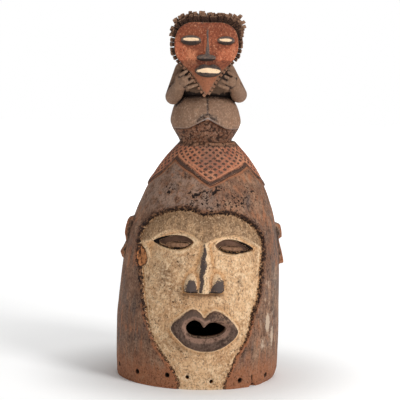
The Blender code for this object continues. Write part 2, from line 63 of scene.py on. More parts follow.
def smoothCurve(points, at):
    # a curve through the points that never overshoots them (slopes are the harmonic mean of their neighbours)
    p = np.array(points, float)
    steps = np.diff(p[:, 0])
    slopes = np.diff(p[:, 1]) / steps
    sameWay = slopes[:-1] * slopes[1:] > 0
    inner = np.zeros(len(slopes) - 1)
    inner[sameWay] = 2 / (1 / slopes[:-1][sameWay] + 1 / slopes[1:][sameWay])
    tangent = np.concatenate([slopes[:1], inner, slopes[-1:]])
    at = np.clip(at, p[0, 0], p[-1, 0])
    i = np.clip(np.searchsorted(p[:, 0], at, side="right") - 1, 0, len(steps) - 1)
    t = (at - p[i, 0]) / steps[i]
    return ((1 + 2 * t) * (1 - t) ** 2 * p[i, 1] + t * (1 - t) ** 2 * steps[i] * tangent[i]
            + t * t * (3 - 2 * t) * p[i + 1, 1] + t * t * (t - 1) * steps[i] * tangent[i + 1])


def closedLine(points, scale, spans=8):
    # a smooth closed line through points given in thousandths of the scale (cubic through four neighbours)
    p = np.array(points, float) * scale / 1000
    a, b, c, d = (np.roll(p, n, 0)[:, None, :] for n in (1, 0, -1, -2))
    t = (np.arange(spans) / spans)[None, :, None]
    line = 0.5 * (2 * b + (c - a) * t + (2 * a - 5 * b + 4 * c - d) * t ** 2
                  + (3 * b - a - 3 * c + d) * t ** 3)
    return line.reshape(-1, 2)


def insideDistance(x, z, line):
    # distance to a closed line, positive inside it: the nearest of its segments, and a count of crossings
    nearest = np.full(x.shape, 1e9)
    inside = np.zeros(x.shape, bool)
    for (x0, z0), (x1, z1) in zip(line, np.roll(line, -1, 0)):
        dx, dz = x1 - x0, z1 - z0
        t = np.clip(((x - x0) * dx + (z - z0) * dz) / (dx * dx + dz * dz), 0, 1)
        nearest = np.minimum(nearest, (x - x0 - t * dx) ** 2 + (z - z0 - t * dz) ** 2)
        if abs(dz) > 1e-12:
            inside ^= ((z0 > z) != (z1 > z)) & (x < x0 + (z - z0) * dx / dz)
    return np.sqrt(nearest) * np.where(inside, 1, -1)


def ramp(value, low, high):
    # 0 below low, 1 above high, smooth between
    t = np.clip((value - low) / (high - low), 0, 1)
    return t * t * (3 - 2 * t)


def swell(x, z, midX, midZ, wide, high):
    # a round swelling of height 1
    return np.exp(-((x - midX) / wide) ** 2 - ((z - midZ) / high) ** 2)


def dome(across, up):
    # the top of a unit ball seen from above, 0 outside it
    return np.sqrt(np.clip(1 - across ** 2 - up ** 2, 0, 1))


def grain(points, size, seed):
    # smooth random numbers from -1 to 1: hashed values on a lattice of the given cell, blended in between
    q = np.asarray(points, float) / size
    base = np.floor(q).astype(np.int64)
    t = q - base
    t = t * t * (3 - 2 * t)
    total = np.zeros(q.shape[:-1])
    for corner in range(8):
        step = np.array([corner & 1, corner >> 1 & 1, corner >> 2 & 1])
        cell = base + step
        mixed = cell[..., 0] * 73856093 ^ cell[..., 1] * 19349663 ^ cell[..., 2] * 83492791 ^ seed * 2654435
        mixed = (mixed ^ (mixed >> 13)) * 1274126177
        mixed = (mixed ^ (mixed >> 16)) & 65535
        total += (mixed / 32767.5 - 1) * np.prod(np.where(step, t, 1 - t), -1)
    return total


def roughness(points, size, seed):
    # two sizes of grain, the finer one half as strong
    return (grain(points, size, seed) + 0.5 * grain(points, size / 2.3, seed + 7)) / 1.5


def makeObject(name, points, faces):
    mesh = bpy.data.meshes.new(name)
    mesh.from_pydata(points.tolist(), [], faces)
    piece = bpy.data.objects.new(name, mesh)
    scene.collection.objects.link(piece)
    return piece


def surfaceOfRows(name, rows):
    # a closed skin over rings of points, each end drawn together to a point, turned so that it faces outwards
    count, around = rows.shape[:2]
    points = np.vstack([rows.reshape(-1, 3), rows[0].mean(0), rows[-1].mean(0)])
    i = np.arange(around)
    j = (i + 1) % around
    bands = np.arange(count - 1)[:, None] * around
    quads = np.stack([bands + i, bands + j, bands + around + j, bands + around + i], -1).reshape(-1, 4)
    last = (count - 1) * around
    first = np.stack([np.full(around, count * around), j, i], -1)
    end = np.stack([np.full(around, count * around + 1), last + i, last + j], -1)
    volume = sum(np.einsum("ij,ij->", points[f[:, 0]], np.cross(points[f[:, 1]], points[f[:, 2]]))
                 for f in (quads, quads[:, [0, 2, 3]], first, end))
    if volume < 0:
        quads, first, end = quads[:, ::-1], first[:, ::-1], end[:, ::-1]
    return makeObject(name, points, quads.tolist() + first.tolist() + end.tolist())


def finalMesh(piece):
    depsgraph = bpy.context.evaluated_depsgraph_get()
    return bpy.data.meshes.new_from_object(piece.evaluated_get(depsgraph))


def applyModifiers(piece):
    old = piece.data
    piece.data = finalMesh(piece)
    piece.modifiers.clear()
    bpy.data.meshes.remove(old)


def vertexPlaces(mesh):
    places = np.zeros(3 * len(mesh.vertices))
    mesh.vertices.foreach_get("co", places)
    return places.reshape(-1, 3)


def storeValues(mesh, name, values):
    made = mesh.attributes.new(name, "FLOAT", "POINT")
    made.data.foreach_set("value", np.ascontiguousarray(values, np.float32))


# The helmet: all of its walls, in metres

helmet = {
    "width": 0.248, "depth": 0.254, "height": 0.357, "wall": 0.014, "crown": 0.052, "lean": 0.0088,
    # half width as a share of half the full width, against height as a share of the height
    "profile": [(-0.05, 0.984), (0.0, 0.985), (0.08, 0.996), (0.19, 1.0), (0.38, 0.978), (0.50, 0.955),
                (0.66, 0.872), (0.77, 0.762), (0.86, 0.636), (0.93, 0.500), (1.0, 0.322), (1.03, 0.25)],
    # angle from the front in degrees, and height above the rim
    "laceHoles": [(-75, 0.0185), (-49, 0.018), (-24, 0.020), (-10, 0.0185), (7, 0.0125), (28, 0.0125),
                  (54, 0.013), (80, 0.014), (106, 0.015), (132, 0.014), (158, 0.016), (-175, 0.017),
                  (-149, 0.018), (-123, 0.019), (-99, 0.018)],
    "laceHoleDiameter": 0.006,
}
tall = helmet["height"]
deepShare = helmet["depth"] / helmet["width"]


def halfWidth(z):
    return helmet["width"] / 2 * smoothCurve(helmet["profile"], z / tall)


def leanAt(z):
    return helmet["lean"] * ramp(z, 0.2 * tall, 0.95 * tall)


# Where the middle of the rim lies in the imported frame
rimPoints = vertexPlaces(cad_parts["carved_mask"].data)
rimPoints = rimPoints[rimPoints[:, 2] < 0.0005]
place = np.array([(rimPoints[:, 0].min() + rimPoints[:, 0].max()) / 2,
                  rimPoints[:, 1].max() - halfWidth(np.array(0.0)) * deepShare, 0.0])


# Shader maths as plain sums

class Field:
    # a socket's value; sums with numbers or other values add Math nodes
    def __init__(self, finish, socket):
        self.finish = finish
        self.socket = socket

    def __add__(self, other):
        return self.finish.maths("ADD", self, other)

    def __sub__(self, other):
        return self.finish.maths("SUBTRACT", self, other)

    def __rsub__(self, other):
        return self.finish.maths("SUBTRACT", other, self)

    def __mul__(self, other):
        return self.finish.maths("MULTIPLY", self, other)

    __radd__ = __add__
    __rmul__ = __mul__


def paint(red, green, blue):
    # a colour as a painter's 0 to 255 numbers, made linear for the shader
    return tuple(((v / 255 + 0.055) / 1.055) ** 2.4 for v in (red, green, blue)) + (1.0,)


class Finish:
    def __init__(self, name):
        self.material = bpy.data.materials.new(name)
        self.material.use_nodes = True
        self.tree = self.material.node_tree
        self.shader = self.tree.nodes["Principled BSDF"]
        self.coords = self.node("ShaderNodeTexCoord", {}, {}, "Object")

    def node(self, kind, settings, sockets, out=0):
        made = self.tree.nodes.new(kind)
        for name, value in settings.items():
            setattr(made, name, value)
        for name, value in sockets.items():
            if isinstance(value, Field):
                self.tree.links.new(value.socket, made.inputs[name])
            else:
                made.inputs[name].default_value = value
        return Field(self, made.outputs[out])

    def maths(self, operation, first, second):
        return self.node("ShaderNodeMath", {"operation": operation}, {0: first, 1: second})

    def both(self, first, second):
        return self.maths("MINIMUM", first, second)

    def either(self, first, second):
        return self.maths("MAXIMUM", first, second)

    def between(self, value, low, high):
        # 0 at low, 1 at high, smooth between
        return self.node("ShaderNodeMapRange", {"interpolation_type": "SMOOTHSTEP"},
                         {"Value": value, "From Min": low, "From Max": high, "To Min": 0.0, "To Max": 1.0})

    def mix(self, share, first, second):
        return self.node("ShaderNodeMix", {"data_type": "RGBA"}, {0: share, 6: first, 7: second}, 2)

    def span(self, value, start, full, fullEnd, end):
        # 1 from full to fullEnd, 0 before start and after end
        return self.both(self.between(value, start, full), self.between(value, end, fullEnd))

    def layers(self, colour, rows):
        # tones laid over a colour one by one: the tone's name, the value it follows, where that value gives
        # none of it and where all, its strength there, and the area it keeps to where there is one
        colour = tones[colour] if isinstance(colour, str) else colour
        for tone, value, none, full, strength, *areas in rows:
            share = self.between(value, none, full)
            for area in areas:
                share = area * share
            colour = self.mix(share * strength, colour, tones[tone])
        return colour

    def noise(self, size, detail, rough, stretch, shift, warp=0.0):
        # grain of about the given size in metres, drawn out upwards where its stretch is above 1,
        # its contrast raised so that it fills most of the span from 0 to 1
        scaled = (1 / size, 1 / size, 1 / (size * stretch))
        moved = self.node("ShaderNodeMapping", {}, {"Vector": self.coords, "Scale": scaled,
                                                    "Location": (shift, shift * 1.7, -shift)})
        raw = self.node("ShaderNodeTexNoise", {}, {"Vector": moved, "Scale": 1.0, "Detail": detail,
                                                   "Roughness": rough, "Distortion": warp})
        contrast = 2.3
        return (raw - 0.5) * contrast + 0.5

    def stored(self, name):
        return self.node("ShaderNodeAttribute", {"attribute_name": name}, {}, "Fac")

    def finishWith(self, colour, rough, height, depth):
        # dry wood and hide hardly shine
        self.shader.inputs["Specular IOR Level"].default_value = 0.12
        sockets = {"Height": height, "Distance": depth, "Strength": 1.0}
        bump = self.node("ShaderNodeBump", {}, sockets, "Normal")
        for name, value in (("Base Color", colour), ("Roughness", rough), ("Normal", bump)):
            if isinstance(value, Field):
                self.tree.links.new(value.socket, self.shader.inputs[name])
            else:
                self.shader.inputs[name].default_value = value
        return self.material


# Camera, light and floor

view = {"distance": 2.5, "azimuth": -3.5, "elevation": 6.3, "roll": 1.4, "target": (-0.0010, 0.0, 0.2665),
        "lens": 147.78, "sensor": 36, "farthest": 50}


def makeCamera():
    azimuth, elevation, roll = (math.radians(view[name]) for name in ("azimuth", "elevation", "roll"))
    back = Vector((math.sin(azimuth) * math.cos(elevation), -math.cos(azimuth) * math.cos(elevation),
                   math.sin(elevation)))
    data = bpy.data.cameras.new("camera")
    data.lens = view["lens"]
    data.sensor_width = view["sensor"]
    data.clip_end = view["farthest"]
    camera = bpy.data.objects.new("camera", data)
    scene.collection.objects.link(camera)
    turn = Matrix.Rotation(roll, 3, back) @ back.to_track_quat("Z", "Y").to_matrix()
    where = Vector(view["target"]) + Vector(place) + back * view["distance"]
    camera.matrix_world = Matrix.Translation(where) @ turn.to_4x4()
    scene.camera = camera


studio = {"floorSize": 12.0, "floorColour": (0.97, 0.97, 0.965), "sky": 0.325, "aim": (0, 0, 0.27),
          # distance from the mask in metres and how much the pale paper glows there, like a lit studio sweep
          "glow": [(0.14, 0.0), (0.30, 0.28), (0.60, 0.36), (2.50, 1.0)],
          # name, place, size, power
          "lamps": [("keyLamp", (1.5, -1.75, 1.55), 0.8, 39.5),
                    ("fillLamp", (-2.0, -1.8, 1.1), 1.6, 4.4),
                    ("topLamp", (0.2, 0.6, 2.4), 1.6, 13.0)]}


def floorFinish():
    f = Finish("pale floor")
    distance = f.node("ShaderNodeVectorMath", {"operation": "LENGTH"}, {0: f.coords}, 1)
    glow = studio["glow"]
    total = 0
    for (near, low), (far, high) in zip(glow[:-1], glow[1:]):
        total = f.between(distance, near, far) * (high - low) + total
    grey = f.mix(total, (0, 0, 0, 1), (1, 1, 1, 1))
    f.tree.links.new(grey.socket, f.shader.inputs["Emission Color"])
    f.shader.inputs["Emission Strength"].default_value = 1.0
    f.shader.inputs["Base Color"].default_value = (*studio["floorColour"], 1)
    f.shader.inputs["Roughness"].default_value = 0.9
    f.shader.inputs["Specular IOR Level"].default_value = 0.1
    return f.material


def makeStudio():
    scene.view_settings.view_transform = "Standard"
    world = bpy.data.worlds.new("studioSky")
    scene.world = world
    world.use_nodes = True
    nodes, links = world.node_tree.nodes, world.node_tree.links
    nodes.clear()
    seen, cast = nodes.new("ShaderNodeBackground"), nodes.new("ShaderNodeBackground")
    seen.inputs["Strength"].default_value = 1.0
    cast.inputs["Strength"].default_value = studio["sky"]
    for background in (seen, cast):
        background.inputs["Color"].default_value = (1, 1, 1, 1)
    path, mix, out = (nodes.new(kind) for kind in ("ShaderNodeLightPath", "ShaderNodeMixShader",
                                                   "ShaderNodeOutputWorld"))
    links.new(path.outputs["Is Camera Ray"], mix.inputs[0])
    links.new(cast.outputs[0], mix.inputs[1])
    links.new(seen.outputs[0], mix.inputs[2])
    links.new(mix.outputs[0], out.inputs["Surface"])

    half = studio["floorSize"] / 2
    corners = np.array([[-half, -half, 0], [half, -half, 0], [half, half, 0], [-half, half, 0]])
    floor = makeObject("floor", corners, [(0, 1, 2, 3)])
    floor.data.materials.append(floorFinish())

    for name, where, size, power in studio["lamps"]:
        data = bpy.data.lights.new(name, "AREA")
        data.size = size
        data.energy = power
        lamp = bpy.data.objects.new(name, data)
        scene.collection.objects.link(lamp)
        away = Vector(where) - Vector(studio["aim"])
        lamp.matrix_world = Matrix.Translation(where) @ away.to_track_quat("Z", "Y").to_matrix().to_4x4()


makeCamera()
makeStudio()
print("camera, light and floor made")


# The carved face on the helmet, in thousandths of the helmet's height sideways and upwards

face = {
    "sink": 0.0045, "nose": 0.021, "lips": 0.013, "groove": 0.0026, "crust": 0.0013,
    "outline": [(-1, 720), (-49, 736), (-125, 732), (-205, 696), (-253, 635), (-265, 574), (-257, 475),
                (-243, 345), (-223, 250), (-194, 183), (-137, 103), (-99, 38), (-79, -32), (73, -29),
                (107, 47), (145, 135), (191, 212), (209, 294), (237, 375), (248, 485), (254, 565), (242, 625),
                (201, 676), (135, 715), (69, 726)],
    "leftEye": [(-205, 595), (-163, 619), (-110, 629), (-68, 621), (-46, 603), (-68, 584), (-109, 572),
                (-157, 577)],
    "rightEye": [(48, 591), (77, 611), (115, 616), (168, 600), (211, 570), (168, 561), (120, 558), (76, 569)],
    "lipsOutline": [(-132, 257), (-90, 304), (-47, 335), (-17, 326), (5, 303), (29, 323), (56, 329),
                    (106, 300), (145, 243), (102, 192), (49, 167), (9, 163), (-34, 170), (-78, 192)],
    "mouthOutline": [(-69, 259), (-60, 281), (-35, 293), (-12, 284), (3, 264), (20, 280), (47, 285),
                     (79, 273), (95, 256), (66, 230), (5, 220), (-50, 228)],
    "brow": [(-282, 584), (-223, 601), (-181, 630), (-111, 654), (-53, 640), (-21, 617), (1, 606), (21, 614),
             (69, 630), (132, 637), (197, 608), (258, 571)],
    # a chip at the edge: middle sideways and up, half width and half height
    "chip": (-252, 528, 23, 47),
    # the eyeballs: middle sideways and up, half width and half height, rise for each step to the right
    "eyeballs": [(-116, 591, 58, 12.5, 0.04), (126, 578, 58, 11.5, -0.10)],
}
faceLines = {name: closedLine(face[name], tall) for name in ("outline", "leftEye", "rightEye", "lipsOutline",
                                                             "mouthOutline")}


def faceMeasures(x, z):
    # signed distances to the carved lines of the face, in metres, with the ragged edges that wear has left
    flat = np.stack([x, np.zeros_like(x), z], -1)
    ragged = 0.0010 * roughness(flat, 0.0045, 3) + 0.0006 * grain(flat, 0.0024, 6)
    edge = insideDistance(x, z, faceLines["outline"]) + ragged
    midX, midZ, wide, high = (v * tall / 1000 for v in face["chip"])
    chip = (1 - np.hypot((x - midX) / wide, (z - midZ) / high)) * wide + 1.6 * ragged
    # the eyeballs: 1 in the middle of each, 0 at its edge, and the height above their middle lines
    u, v = x / tall * 1000, z / tall * 1000
    lines = [v - up - tilt * (u - out) for out, up, _, _, tilt in face["eyeballs"]]
    ball = np.maximum(*(1 - np.hypot((u - out) / wide, line / high)
                        for line, (out, _, wide, high, _) in zip(lines, face["eyeballs"])))
    eyes = np.maximum(*(insideDistance(x, z, faceLines[name]) for name in ("leftEye", "rightEye")))
    return SimpleNamespace(
        edge=edge,
        eyes=eyes,
        lips=insideDistance(x, z, faceLines["lipsOutline"]) + 0.3 * ragged,
        mouth=insideDistance(x, z, faceLines["mouthOutline"]),
        brow=smoothCurve(np.array(face["brow"]) * tall / 1000, x) - z,
        chip=chip,
        ball=ball,
        ballUp=np.where(x < 0, *lines) * tall / 1000,
    )


def noseMiddle(z):
    # the nose leans a little to the right as it rises
    return 0.001 * tall + 0.03 * (z - 0.4 * tall)


def noseRelief(x, z):
    # a thin bridge that spreads into two round wings and stops at a flat base
    h = tall
    down = np.clip((0.625 * h - z) / (0.225 * h), 0, 1)
    middle = noseMiddle(z)
    ridge = np.clip(1 - np.abs(x - middle) / ((0.016 + 0.052 * down ** 1.6) * h), 0, 1) ** 0.8
    ridge = ridge * (0.24 + 0.76 * down)
    wings = np.maximum(*(dome((x - middle - out * h) / (0.031 * h), (z - 0.430 * h) / (0.052 * h))
                         for out in (-0.051, 0.049)))
    furrow = swell(np.abs(x - middle), z, 0.024 * h, 0.425 * h, 0.006 * h, 0.045 * h)
    base = ramp(z, 0.402 * h, 0.406 * h) * ramp(0.64 * h - z, 0, 0.04 * h)
    return face["nose"] * (np.maximum(ridge, 0.80 * wings) - 0.10 * furrow) * base


def faceRelief(x, z, m):
    # how far the carved face stands off the helmet's plain surface
    h, wall = tall, helmet["wall"]
    flat = np.stack([x, np.zeros_like(x), z], -1)
    sunk = face["sink"] * (0.3 + 0.7 * ramp(z, 0.05 * h, 0.45 * h))
    edge = m.edge
    height = -sunk * ramp(edge, -0.0008, 0.0006)
    broken = roughness(flat, 0.0042, 11)
    gap = ramp(edge, -0.0006, 0.0004) * (1 - ramp(edge + 0.0006 * broken, 0.0012, 0.0024))
    height = height - face["groove"] * gap * np.clip(0.65 + 0.9 * broken, 0, 1.3) * ramp(z, 0.0, 0.2 * h)
    crust = np.exp(-((edge + 0.0018) / 0.0014) ** 2)
    crumbs = np.clip(0.5 + 1.7 * grain(flat, 0.0036, 5), 0, 1.6) * (1 + 0.5 * (x > 0.04))
    height = height + face["crust"] * crust * crumbs * ramp(z, 0.02 * h, 0.1 * h)
    onFace = ramp(edge, 0, 0.012)

    below = m.brow
    side = 1 - 0.75 * swell(x, z, 0.0, 0.58 * h, 0.05 * h, 0.2 * h)
    socket = ramp(below, -0.0015, 0.004) * np.exp(-(np.maximum(below, 0) / (0.10 * h)) ** 1.6) * side
    forehead = ramp(-below, 0, 0.006) * ramp(edge, 0.002, 0.02)
    cheeks = swell(x, z, -0.15 * h, 0.42 * h, 0.10 * h, 0.12 * h)
    cheeks = cheeks + swell(x, z, 0.15 * h, 0.41 * h, 0.10 * h, 0.12 * h)
    muzzle = swell(x, z, 0.007 * h, 0.25 * h, 0.15 * h, 0.10 * h)
    ridge = np.exp(-((below + 0.0012) / 0.0020) ** 2) * ramp(edge, 0.002, 0.02)
    form = 0.16 * forehead - 0.38 * socket + 0.10 * cheeks + 0.36 * muzzle + 0.09 * ridge
    height = height + onFace * wall * form

    # almond hollows, with a long lidded eyeball lying low in each
    height = height - wall * 0.36 * ramp(m.eyes, -0.0003, 0.0014)
    height = height + wall * 0.40 * np.sqrt(np.clip(m.ball * (2 - m.ball), 0, 1))

    height = height + noseRelief(x, z)

    inward = np.clip(m.lips, 0, None)
    inward = inward / np.maximum(inward + np.clip(-m.mouth, 0, None), 1e-6)
    roll = np.interp(inward, [0, 0.12, 0.45, 0.62, 1], [0.35, 0.72, 1.0, 0.92, 0.30])
    border = np.exp(-((m.lips + 0.0016) / 0.0011) ** 2)
    height = height + face["lips"] * (roll * ramp(m.lips, -0.0005, 0.0009) + 0.06 * border)

    chipped = ramp(m.chip, -0.0003, 0.0009) * ramp(edge, -0.006, -0.004)
    height = height * (1 - chipped) + chipped * (-1.25 * sunk - 0.0006 * roughness(flat, 0.003, 21))
    coat = 0.00022 * roughness(flat, 0.0024, 9) + 0.0003 * grain(flat, 0.014, 4)
    return height + coat * ramp(edge, 0.001, 0.003)


# The netted collar on the dome

collar = {
    "step": 0.0028,
    # its zigzag edge: angle from the front, height as a share of the helmet's
    "edge": [(-180, 0.835), (-150, 0.882), (-126, 0.925), (-115, 0.866), (-90, 0.812), (-64, 0.870),
             (-53, 0.932), (-20, 0.882), (0, 0.832), (21, 0.870), (55, 0.908), (65, 0.860), (90, 0.812),
             (115, 0.866), (126, 0.925), (150, 0.882), (180, 0.835)],
    "meshes": 31, "slope": 0.1, "span": 53.6, "cord": 0.28, "recess": 0.0009,
}


def collarMeasures(angle, z):
    # height above the zigzag edge, and how deep in a mesh of the net: 0 on its cords, 1 in a lozenge's middle
    degrees = np.degrees(angle)
    above = (z - np.interp(degrees, *np.array(collar["edge"]).T) * tall) * 1.05
    rise = (z / tall - 0.832) / collar["slope"]
    pitch = 360 / collar["span"] / collar["meshes"]
    first = (rise + degrees / collar["span"]) / pitch
    second = (rise - degrees / collar["span"]) / pitch
    cords = [1 - 2 * np.abs(f - np.floor(f) - 0.5) for f in (first, second)]
    depth = np.minimum(*(ramp(across, collar["cord"], collar["cord"] + 0.22) for across in cords))
    net = depth * ramp(above, 0.0085, 0.0100) * (1 - ramp(z, 0.990 * tall, 0.998 * tall))
    return above, net


def collarRelief(above, net, points):
    # a step, a rounded border band, a thin line beside it, and the lozenges cut in
    border = ramp(above, 0, 0.0010) * (1 - 0.42 * ramp(above, 0.0042, 0.0052))
    line = np.exp(-((above - 0.0078) / 0.0008) ** 2) - 0.9 * np.exp(-((above - 0.0060) / 0.0008) ** 2)
    worn = 0.75 + 0.5 * grain(points, 0.012, 31)
    return collar["step"] * border + 0.0004 * line * worn - collar["recess"] * net * worn


# Damage on the hood: middle as angle and height, half width in degrees, half height and depth in metres

damage = [(-9, 0.284, 14, 0.010, 0.0022), (9, 0.290, 7, 0.007, 0.0026), (26, 0.272, 16, 0.013, 0.0024),
          (2, 0.270, 28, 0.007, 0.0016), (42, 0.285, 10, 0.013, 0.0012), (-42, 0.290, 7, 0.009, 0.0010),
          (0, 0.2930, 2.5, 0.004, 0.0020), (4, 0.287, 3, 0.004, 0.0020),
          (150, 0.250, 16, 0.020, 0.0009)]


def damageAt(angle, z, points):
    # pits eaten into the hood, and how dark they are: blots of grain that pass a threshold near each middle
    degrees = np.degrees(angle)
    nearness = np.zeros_like(z)
    depth = np.zeros_like(z)
    for midAngle, midZ, wide, high, deep in damage:
        here = swell(degrees, z, midAngle, midZ, wide, high)
        nearness = np.maximum(nearness, here)
        depth = np.maximum(depth, here * deep)
    blots = 1.5 * roughness(points, 0.0040, 41) + 0.55 * grain(points, 0.018, 44) + nearness
    return ramp(blots, 0.96, 1.28) * ramp(nearness, 0.08, 0.3), depth, nearness


# Ears in relief: how far they stand out, as a share, at thousandths of the helmet's height from their tops

earShape = {
    "stand": 0.0084,
    "left": (0.236, [(-166, 0), (-160, 0.35), (-140, 0.80), (-120, 0.45), (-94, 0.18), (-76, 0.45),
                     (-58, 0.85), (-30, 1), (-4, 0.95), (6, 0.75), (12, 0)]),
    "right": (0.233, [(-170, 0), (-166, 0.85), (-150, 0.80), (-110, 0.55), (-72, 0.30), (-64, 0.32),
                      (-56, 0.90), (-30, 1), (-5, 0.95), (4, 0)]),
}


def earHeight(angle, z):
    # each ear is a ridge round a shallow hollow, with its lobe cut off below
    back = -np.cos(angle) * halfWidth(z) * deepShare / tall
    lift = 0
    for side, (top, edge) in ((-1, earShape["left"]), (1, earShape["right"])):
        up = (z - top) / tall
        stand = np.interp(up * 1000, *np.array(edge, float).T)
        hollow = ramp(1 - np.hypot((back - 0.008) / 0.020, (up + 0.045) / 0.040), 0, 0.5)
        curve = 0.012 * np.cos(np.clip(up + 0.06, -0.08, 0.08) * 18)
        within = ramp(back, -0.043 + curve, -0.036 + curve) * ramp(-back, -0.046, -0.038)
        within = within * (side * np.sin(angle) > 0)
        lift = lift + earShape["stand"] * stand * within * (1 - 0.6 * hollow)
    return lift


def helmetLift(angle, z, x):
    # everything that is carved on the helmet's outside, along its own outward direction
    wide = halfWidth(z)
    points = np.stack([wide * np.sin(angle), -wide * np.cos(angle), z], -1)
    above, net = collarMeasures(angle, z)
    lift = collarRelief(above, net, points)
    front = np.cos(angle) > 0
    m = faceMeasures(x, z)
    lift = lift + np.where(front, faceRelief(x, z, m), 0)
    onHood = np.where(front, ramp(-m.edge, 0.0005, 0.003), 1.0) * (1 - ramp(above, -0.002, 0.0))
    pits, depth, _ = damageAt(angle, z, points)
    stretched = points * [1, 1, 0.22]
    tools = 0.00035 * grain(stretched, 0.010, 51) + 0.00022 * grain(stretched, 0.0035, 52)
    lift = lift + onHood * (tools - pits * depth)
    # a crack that runs up from a small chip in the rim, and the rounded lower edge beside it
    degrees = np.degrees(angle)
    fromCrack = degrees - 37.5 - 130 * z - 1.2 * np.sin(260 * z)
    crack = np.exp(-(fromCrack / 0.55) ** 2) * ramp(0.020 - z, 0, 0.006)
    missing = ramp(1 - np.hypot((degrees - 40.5) / 2.6, z / 0.0055), 0, 0.3)
    rounded = ramp(degrees, 36, 60) * ramp(-degrees, -125, -100) * np.clip(1 - z / 0.016, 0, 1) ** 2
    lift = lift - 0.0055 * crack - 0.006 * missing - 0.0045 * rounded
    return lift + earHeight(angle, z)


def helmetShell():
    # a hollow bell: rings of the carved outside from crown to rim, then of the plain inside back up
    fine, coarse = 0.42, 0.9
    angle = np.radians(np.concatenate([np.arange(-180, -72, coarse), np.arange(-72, 72, fine),
                                       np.arange(72, 180, coarse)]))
    below = -0.02 * tall
    outerZ = np.linspace(tall, below, 380)
    hollowTop = tall - helmet["crown"]
    innerZ = np.concatenate([[below], hollowTop * np.sin(np.linspace(0, math.pi / 2, 60))[1:-1]])

    a, z = np.meshgrid(angle, outerZ)
    wide = halfWidth(z)
    x, y = wide * np.sin(a) + leanAt(z), -wide * deepShare * np.cos(a)
    lift = helmetLift(a, z, x)
    outer = np.stack([x + lift * np.sin(a), y - lift * np.cos(a), z], -1)

    a, z = np.meshgrid(angle, innerZ)
    rounding = np.sqrt(1 - np.clip(z / hollowTop, 0, 1) ** 8)
    gouges = 0.0005 * grain(np.stack([np.degrees(a) / 9, z * 0, z / 0.03], -1), 1.0, 61)
    wide = (halfWidth(z) - helmet["wall"]) * rounding + gouges
    long = (halfWidth(z) * deepShare - helmet["wall"]) * rounding + gouges
    inner = np.stack([leanAt(z) + wide * np.sin(a), -long * np.cos(a), z], -1)
    return surfaceOfRows("shell", np.concatenate([outer, inner]))


def prism(line, near, far):
    # a straight-sided plug between two planes across the helmet's depth
    return np.array([np.stack([line[:, 0], np.full(len(line), y), line[:, 1]], -1) for y in (near, far)])


def cutters():
    # the mouth, the lacing holes and everything below the rim, as one object of separate closed plugs
    plugs = []
    front = -helmet["depth"] / 2
    plugs.append(prism(closedLine(face["mouthOutline"], tall, 6), front - 0.05, front + 0.05))
    turn = np.linspace(0, 2 * math.pi, 16, endpoint=False)[:, None]
    for degrees, z in helmet["laceHoles"]:
        a = math.radians(degrees)
        wide = float(halfWidth(np.array(z)))
        out = np.array([math.sin(a) / wide, -math.cos(a) / (wide * deepShare), 0])
        out /= np.linalg.norm(out)
        level = np.array([-out[1], out[0], 0])
        circle = helmet["laceHoleDiameter"] / 2 * (np.cos(turn) * level + np.sin(turn) * np.array([0, 0, 1]))
        on = np.array([wide * math.sin(a), -wide * deepShare * math.cos(a), z])
        plugs.append(np.array([on + out * reach + circle for reach in (-0.03, 0.03)]))
    corners = np.array([[-0.4, -0.4], [0.4, -0.4], [0.4, 0.4], [-0.4, 0.4]])
    plugs.append(np.array([np.column_stack([corners, np.full(4, z)]) for z in (-0.04, 0.0)]))
    return joined("cutters", [surfaceOfRows("plug", rows) for rows in plugs])


def joined(name, pieces):
    # one object from the meshes of several, which are then gone
    points, faces, start = [], [], 0
    for piece in pieces:
        mesh = piece.data
        places = vertexPlaces(mesh)
        points.append(places)
        faces += [[start + v for v in polygon.vertices] for polygon in mesh.polygons]
        start += len(places)
        bpy.data.objects.remove(piece)
        bpy.data.meshes.remove(mesh)
    return makeObject(name, np.concatenate(points), faces)


# The crest figure, in thousandths of its own height sideways, backwards and upwards from its foot

figure = {
    "height": 0.180, "width": 0.119, "offset": 0.0048, "lean": 0.009, "plateFront": -320, "headLevel": 720,
    "plateThickness": 0.013, "plateSwell": 0.0075,
    "heart": [(0, 992), (120, 994), (186, 972), (234, 926), (258, 850), (256, 765), (226, 695), (176, 640),
              (132, 590), (86, 525), (48, 460), (18, 412), (4, 400), (-10, 412), (-46, 461), (-92, 527),
              (-142, 590), (-194, 643), (-242, 700), (-264, 768), (-264, 850), (-238, 928), (-186, 974),
              (-120, 994)],
    "bodyProfile": [(-60, 208, 185), (0, 217, 190), (60, 250, 215), (120, 283, 245), (170, 295, 262),
                    (240, 282, 262), (300, 262, 242), (345, 234, 212), (385, 190, 168), (415, 130, 115)],
    "torso": [(22, 300, 150, 120), (10, 360, 205, 165), (10, 440, 238, 170), (18, 520, 240, 145),
              (16, 580, 230, 120), (8, 630, 196, 104), (0, 675, 150, 92), (-10, 715, 100, 80)],
}
unit = figure["height"] / 1000
wideShare = figure["width"] / (0.661 * figure["height"])


def figureMiddle(z):
    return figure["offset"] - figure["lean"] * (np.minimum(z, figure["headLevel"]) / 1000) ** 2


def figurePoint(x, y, z):
    x, y, z = (np.asarray(v, float) for v in (x, y, z))
    across = figureMiddle(z) + x * unit * wideShare
    return np.stack(np.broadcast_arrays(across, y * unit, tall + z * unit), -1)


def heartLine(spans=8):
    line = closedLine(figure["heart"], figure["height"], spans) * [wideShare, 1]
    return line + [figureMiddle(figure["headLevel"]), tall]


def levelRing(x, y, wide, deep, power, around):
    # an ellipse, or squarer as the power rises
    t = np.linspace(0, 2 * math.pi, around, endpoint=False)
    c, s = np.cos(t), np.sin(t)
    power = 2 / power
    return x + wide * np.sign(c) * np.abs(c) ** power, y + deep * np.sign(s) * np.abs(s) ** power


